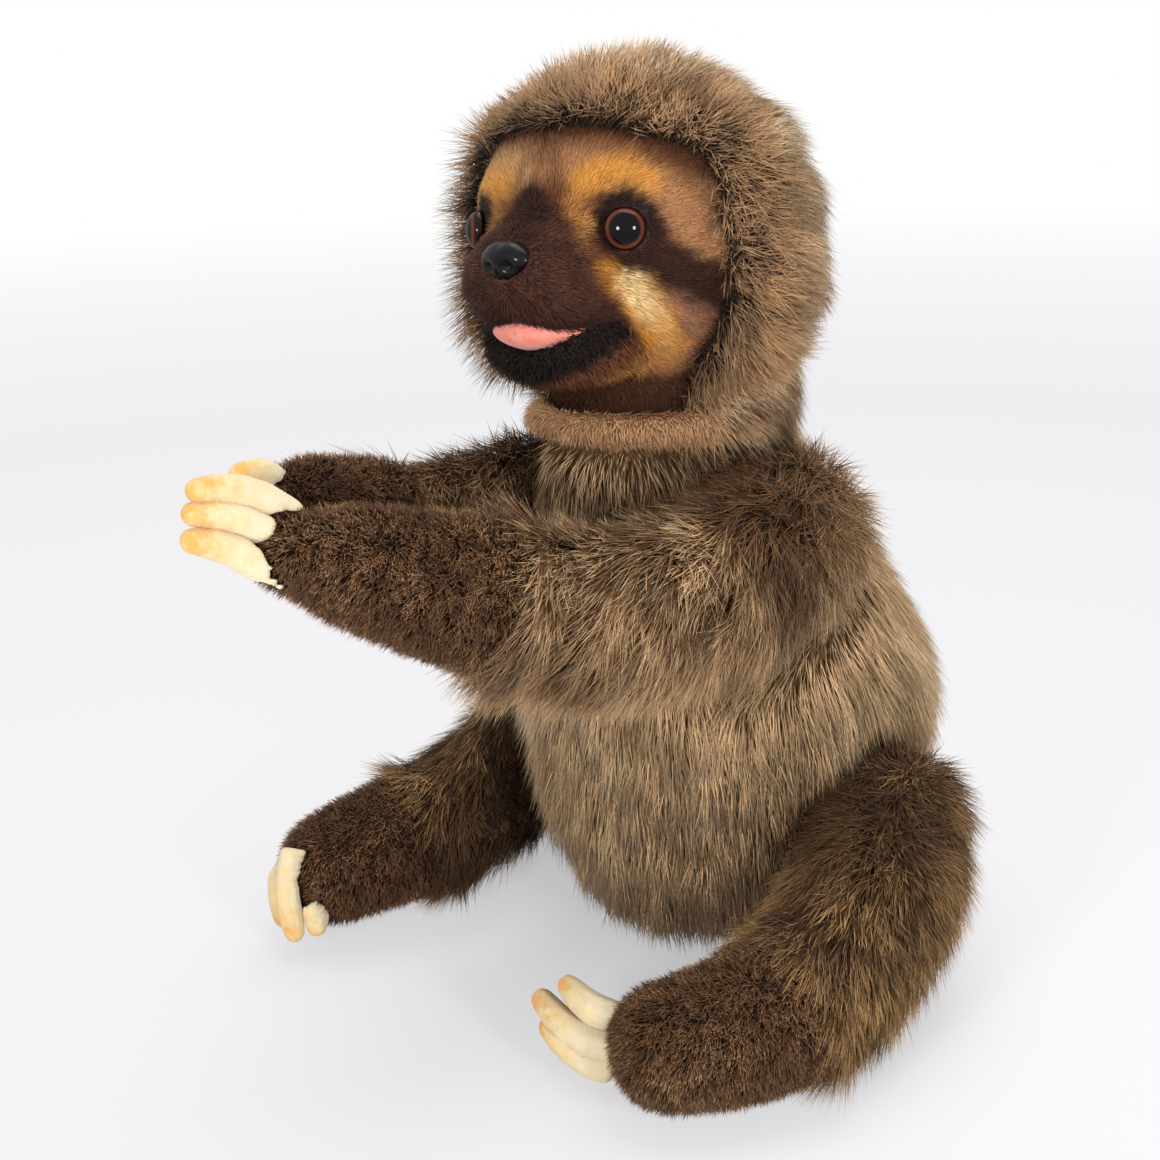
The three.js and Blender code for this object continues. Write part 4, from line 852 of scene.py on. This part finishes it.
EDGE_WAVER, SNOUT_SOFTNESS = 0.7, 2.5
RIM_LINE, RIM_STRENGTH, BROW_LIFT, BROW_STRENGTH = (-0.004, 0.002), 0.3, (8, 24), 0.5
CHIN_DROP, CHIN_ASIDE, CHIN_STRENGTH = (0.036, 0.044), (75, 62), 0.9


def degrees_of(own):
    """How many degrees to the left and how many up each point is."""
    side = np.degrees(np.arctan2(own[:, 0], -own[:, 1]))
    return side, np.degrees(np.arcsin(own[:, 2] / np.linalg.norm(own, axis=1)))


def dye_of(code):
    return np.array(linear(code)[:3])


def mixed(first, second, share):
    return first * (1 - share) + second * share


def painted(own, base, strokes):
    """The colour of each point after every stroke is brushed over the base."""
    side, lift = degrees_of(own)
    waver = EDGE_WAVER * np.column_stack([np.sin(own @ a) + np.sin(own @ b) for a, b in EDGE_WAVES])
    right_spots = np.column_stack([side, lift]) + waver
    both_spots = np.column_stack([np.abs(side), lift]) + waver
    colours = np.tile(dye_of(base), (len(own), 1))
    for code, wide, soft, strength, line in strokes:
        off = np.full(len(own), 1e9)
        spots = right_spots if line[0][0] < 0 else both_spots
        for a, b in zip(line[:-1], line[1:]):
            a, b = np.array(a, float), np.array(b, float)
            t = np.clip((spots - a) @ (b - a) / max(np.sum((b - a) ** 2), 1e-9), 0, 1)
            off = np.minimum(off, np.linalg.norm(spots - a - t[:, None] * (b - a), axis=1))
        cover = (strength * (1 - step(off, wide - soft / 2, wide + soft / 2)))[:, None]
        colours = mixed(colours, dye_of(code), cover)
    return colours


side, lift = degrees_of(own)
side = np.abs(side)
from_edge = side - np.interp(lift, MUZZLE_LIFTS, MUZZLE_SIDES)
snout = (1 - step(from_edge, -SNOUT_SOFTNESS, SNOUT_SOFTNESS))[:, None]
# Painted shade: the face darkens along the hood's rim, more towards the top of the face, under the hood's pile.
dark_rim = (step(rim_gap, *RIM_LINE) * (RIM_STRENGTH + BROW_STRENGTH * step(lift, *BROW_LIFT)))[:, None]
chin = CHIN_STRENGTH * (step(-z, *CHIN_DROP) * step(side, *CHIN_ASIDE))[:, None]
face_dye_and_shading = mixed(painted(own, "#7f4f33", FACE_STROKES), dye_of("#2f1e15"), dark_rim)
face_dye_and_shading = mixed(face_dye_and_shading, dye_of("#4c2e1e"), chin)
face_dye_and_shading = mixed(face_dye_and_shading, painted(own, "#583629", MUZZLE_STROKES), snout)
jaw_dye = mixed(face_dye_and_shading, dye_of("#251a16"), snout)
hood_dye = np.tile(dye_of("#3a2a1e"), (len(at), 1))
# The colours written here carry painted shade along the hood's rim and painted light on the right brow.
marked(head, "dye", np.select([on_hood[:, None], on_jaw[:, None]], [hood_dye, jaw_dye], face_dye_and_shading), "FLOAT_VECTOR")


# The head's cloth and piles: long on the hood; on the face, the muzzle and the jaw short, in the brushed colours with
# their painted light and shade.
SHORT_SURFACE = {"Roughness": 0.7, "Specular IOR Level": 0.2}
TIP_LIGHT = 1.12


def dye_and_shading_material(name, variety, root_dark):
    """Short pile that takes the colour on its form, with painted shade darkening its roots and painted light
    brightening its tips.
    """
    made, tree, surface = new_material(name)
    bright = spread(tree, attribute(tree, "tone"), 1 - variety, 1 + variety)
    # Painted shade at the roots and painted light at the tips: from root_dark up to TIP_LIGHT times the colour.
    rooted = spread(tree, attribute(tree, "along"), root_dark, TIP_LIGHT)
    shown = scaled(tree, attribute(tree, "dye", "Vector"), maths(tree, "MULTIPLY", bright, rooted))
    links(tree, surface, {"Base Color": shown, **SHORT_SURFACE})
    return made


def dyed_ground(name):
    """Backing cloth that takes the same colour, a little darker as painted shade between the tufts, with a rough
    weave.
    """
    made, tree, surface = new_material(name)
    weave = noise(tree, object_place(tree), scale=900.0, detail=3.0)
    shown = scaled(tree, attribute(tree, "dye", "Vector"), spread(tree, weave, low=0.6, high=0.9))
    rough = bumped(tree, weave, distance=0.0006, strength=0.7)
    links(tree, surface, {"Base Color": shown, "Normal": rough, **SHORT_SURFACE})
    return made


head_ground = dyed_ground("head_ground")
face_nap = dye_and_shading_material("face_nap", variety=0.2, root_dark=0.75)
muzzle_nap = dye_and_shading_material("muzzle_nap", variety=0.45, root_dark=0.6)
head.data.materials.append(head_ground)
settle(head, "head", ["head_stuffing"])
on_left = x >= 0
for name, keep, blade, count, seed, fur, look, slot, node in (
    ("hood_pile_left", on_hood & on_left, long_tuft, 32000, 51, hood_fur, "hood", "long_fur", "head_hood"),
    ("hood_pile_right", on_hood & ~on_left, long_tuft, 27000, 52, hood_fur, "hood", "long_fur", "head_hood"),
    ("face_pile", on_face, short_tuft, 24000, 53, face_nap, "face", "face_fur", "face_panel"),
    ("muzzle_pile", on_muzzle, short_tuft, 9000, 54, muzzle_nap, "muzzle", "muzzle_fur", "muzzle_cover"),
    ("jaw_pile", on_jaw, short_tuft, 6000, 55, muzzle_nap, "jaw", "muzzle_fur", "jaw_cover"),
):
    settle(planted(name, head, keep, blade, count, seed, fur, look), "head", [node])


# The throat: a tan roll of short pile under the chin, between the hood's two ends.
# Along its top it is pinker, and darker with painted shade under the chin.
THROAT_SUNK, THROAT_TOP, THROAT_SPREAD = -0.0008, (0.189, 0.194), 12

throat = smooth_form("throat_form", ["throat_roll"], voxel=0.001, rounds=6)
padded_out(throat, THROAT_SUNK)
at = places(throat)
ones = np.ones(len(at))
groomed(throat, np.column_stack([at[:, 0] * THROAT_SPREAD, -0.1 * ones, -ones]), ones, np.zeros(len(at)))
# Painted shade under the chin: the top darker, as well as pinker.
shaded_top = step(at[:, 2], *THROAT_TOP)[:, None]
marked(throat, "dye", mixed(dye_of("#c79a70"), dye_of("#8f5c42"), shaded_top), "FLOAT_VECTOR")
throat.data.materials.append(head_ground)
settle(throat, "head", ["throat_roll"])
throat_pile = planted("throat_pile", throat, ones.astype(bool), short_tuft, 4000, 61, face_nap, "throat")
settle(throat_pile, "head", ["throat_roll"])


# The lip: a lens of pink velour set into the mouth, redder along its upper edge.
# It is soft and matt, with a short nap.
LIP_SIZE, LIP_PLACE = (0.0205, 0.0186, 0.0054), (0.0008, -0.0352, -0.0249)
LIP_POUT, LIP_FRONT = 0.0022, (0.2, 0.9)


def ball_form(name, segments, rings):
    """A smooth ball of radius 1, to be drawn into a shape."""
    ball = bmesh.new()
    bmesh.ops.create_uvsphere(ball, u_segments=segments, v_segments=rings, radius=1)
    ball.verts.index_update()
    # Blender lists these faces in another order at each run.
    faces = sorted(([corner.index for corner in face.verts] for face in ball.faces), key=sorted)
    mesh = bpy.data.meshes.new(name)
    mesh.from_pydata([corner.co for corner in ball.verts], [], faces)
    ball.free()
    made = placed(name, mesh)
    lit_smooth(made)
    return made


lip = ball_form("lip", 64, 40)
ball_at = places(lip)
lens = ball_at * LIP_SIZE + LIP_PLACE
lens[:, 2] += LIP_POUT * ball_at[:, 2] * (1 - np.abs(ball_at[:, 0])) * step(-ball_at[:, 1], *LIP_FRONT)
reshaped(lip, head_place + lens @ head_turn.T)
heights = places(lip)[:, 2]
marked(lip, "along", (heights - heights.min()) / np.ptp(heights))
lip.data.materials.append(velour_material("lip_velour", "#d9765f", "#e48d7e", "#a83a33"))
settle(lip, "head", ["mouth_lining"])


# The eyes: domes of clear plastic on a stalk, a black pupil inside a red-brown ring.
# The glass is hard and bright, and a thin dark rim seats it in the pile.
EYE_RADIUS, EYE_DOME = 0.006, 0.0042
EYE_FOOT = [(EYE_RADIUS * 0.9, -0.0012), (EYE_RADIUS, -0.0010), (EYE_RADIUS, 0)]
EYE_ASIDE, EYE_UP = math.radians(40.5), math.radians(4)
EYE_RINGS, EYE_STEPS, SMALLEST_RING = 12, 48, 0.00002
PUPIL, IRIS = [(0.0, "#050404"), (0.73, "#060404")], [(0.78, "#4a2015"), (0.88, "#62301f")]
EYE_EDGE, FLECKS = [(0.95, "#22100a"), (1.0, "#1c0e09")], 0.05


def glass_material():
    made, tree, surface = new_material("eye_glass")
    fleck = noise(tree, object_place(tree), scale=1800.0, detail=3.0)
    where = maths(tree, "MULTIPLY_ADD", fleck, FLECKS, attribute(tree, "off"))
    colour = code_ramp(tree, where, *PUPIL, *IRIS, *EYE_EDGE)
    links(tree, surface, {"Base Color": colour, "Roughness": 0.3, "Specular IOR Level": 0})
    links(tree, surface, {"Coat Weight": 0.34, "Coat IOR": 1.5, "Coat Roughness": 0.015})
    return made


def turned_form(name, profile, centre, axis, steps):
    """A closed round piece from a profile of radius and height about an axis."""
    u = np.cross(axis, (0, 0, 1.0))
    u /= np.linalg.norm(u)
    v = np.cross(axis, u)
    points, faces = [], []
    for radius, height in profile:
        for k in range(steps):
            a = 2 * math.pi * k / steps
            points.append(tuple(centre + axis * height + (u * math.cos(a) + v * math.sin(a)) * radius))
    top = (len(profile) - 1) * steps
    for low in range(0, top, steps):
        for k in range(steps):
            after = (k + 1) % steps
            faces.append((low + k, low + after, low + steps + after, low + steps + k))
    faces.append(tuple(range(steps))[::-1])
    faces.append(tuple(range(top, top + steps)))
    mesh = bpy.data.meshes.new(name)
    mesh.from_pydata(points, [], faces)
    fixed = bmesh.new()
    fixed.from_mesh(mesh)
    bmesh.ops.recalc_face_normals(fixed, faces=fixed.faces)
    fixed.to_mesh(mesh)
    fixed.free()
    made = placed(name, mesh)
    lit_smooth(made)
    return made


eye_glass = glass_material()
eye_profile = list(EYE_FOOT)
for k in range(1, EYE_RINGS + 1):
    a = k / EYE_RINGS * math.pi / 2
    eye_profile.append((max(EYE_RADIUS * math.cos(a), SMALLEST_RING), EYE_DOME * math.sin(a)))
for side, sign in (("left", 1), ("right", -1)):
    aim, node = EYE_ASIDE * sign, f"eye_{side}"
    axis = np.array([math.sin(aim) * math.cos(EYE_UP), -math.cos(aim) * math.cos(EYE_UP), math.sin(EYE_UP)])
    axis = head_turn @ axis
    solid = places(frame["nodes"][node])
    middle = solid.mean(axis=0)
    centre = middle + axis * ((solid @ axis).max() - EYE_DOME - middle @ axis)
    eye = turned_form(f"glass_eye_{side}", eye_profile, centre, axis, EYE_STEPS)
    from_axis = places(eye) - centre
    from_axis = np.linalg.norm(from_axis - np.outer(from_axis @ axis, axis), axis=1)
    marked(eye, "off", from_axis / EYE_RADIUS)
    eye.data.materials.append(eye_glass)
    settle(eye, "head", [node])


# The nose: one glossy black moulding, broad above, with two nostrils and a groove between them.
# Its surface has the faint pebbling of a moulded nose.
NOSE_PLACE, NOSE_SIZE, NOSE_TAPER = np.array([0.0004, -0.0534, -0.0039]), (0.0095, 0.005, 0.0057), 0.22
NOSTRIL_DEEP, NOSTRIL_ASIDE, NOSTRIL_DOWN, NOSTRIL_SIZE = 0.0021, 0.42, 0.22, (0.2, 0.26)
GROOVE_DEEP, GROOVE_WIDTH, GROOVE_TOP = 0.0011, 0.09, (-0.1, 0.5)
BRIDGE_DEEP, BRIDGE_WIDTH, BRIDGE_TOP = 0.0004, 0.2, (0.3, 0.9)

nose = ball_form("glossy_nose", 72, 48)
ball_at = places(nose)
across, up, in_front = ball_at[:, 0], ball_at[:, 2], ball_at[:, 1] < 0
shape = ball_at * NOSE_SIZE
shape[:, 0] *= 1 - NOSE_TAPER * step(-up, 0, 1)
for sign in (1, -1):
    dent = ((across - NOSTRIL_ASIDE * sign) / NOSTRIL_SIZE[0]) ** 2 + ((up + NOSTRIL_DOWN) / NOSTRIL_SIZE[1]) ** 2
    shape[:, 1] += NOSTRIL_DEEP * np.exp(-dent) * in_front
shape[:, 1] += GROOVE_DEEP * (np.exp(-((across / GROOVE_WIDTH) ** 2)) * step(-up, *GROOVE_TOP) * in_front)
shape[:, 2] -= BRIDGE_DEEP * (np.exp(-((across / BRIDGE_WIDTH) ** 2)) * step(up, *BRIDGE_TOP))
reshaped(nose, head_place + head_turn @ NOSE_PLACE + shape @ head_turn.T)
gloss, tree, surface = new_material("nose_gloss")
pebble = add(tree, "ShaderNodeTexVoronoi", {"Vector": object_place(tree), "Scale": 900.0}).outputs["Distance"]
black = code_ramp(tree, pebble, (0.0, "#060506"), (1.0, "#0d0b0c"))
rough = bumped(tree, pebble, distance=0.0002, strength=0.25)
links(tree, surface, {"Base Color": black, "Normal": rough, "Roughness": 0.45, "Specular IOR Level": 0.08})
links(tree, surface, {"Coat Weight": 0.2, "Coat Roughness": 0.025})
nose.data.materials.append(gloss)
settle(nose, "head", ["nose"])


# The joint buttons and the washers behind the eyes and the nose: milky moulded plastic, out of sight in
# the stuffing. They keep their solids' shapes.
plastic, tree, surface = new_material("milky_plastic")
cloudy = noise(tree, object_place(tree), scale=180.0, detail=4.0)
milky = code_ramp(tree, cloudy, (0.0, "#cfcabb"), (1.0, "#e4e0d4"))
links(tree, surface, {"Base Color": milky, "Roughness": 0.55})
for name, node in frame["nodes"].items():
    if any(part in name for part in ("disc", "lock", "washer")):
        for slot in node.material_slots:
            slot.material = plastic
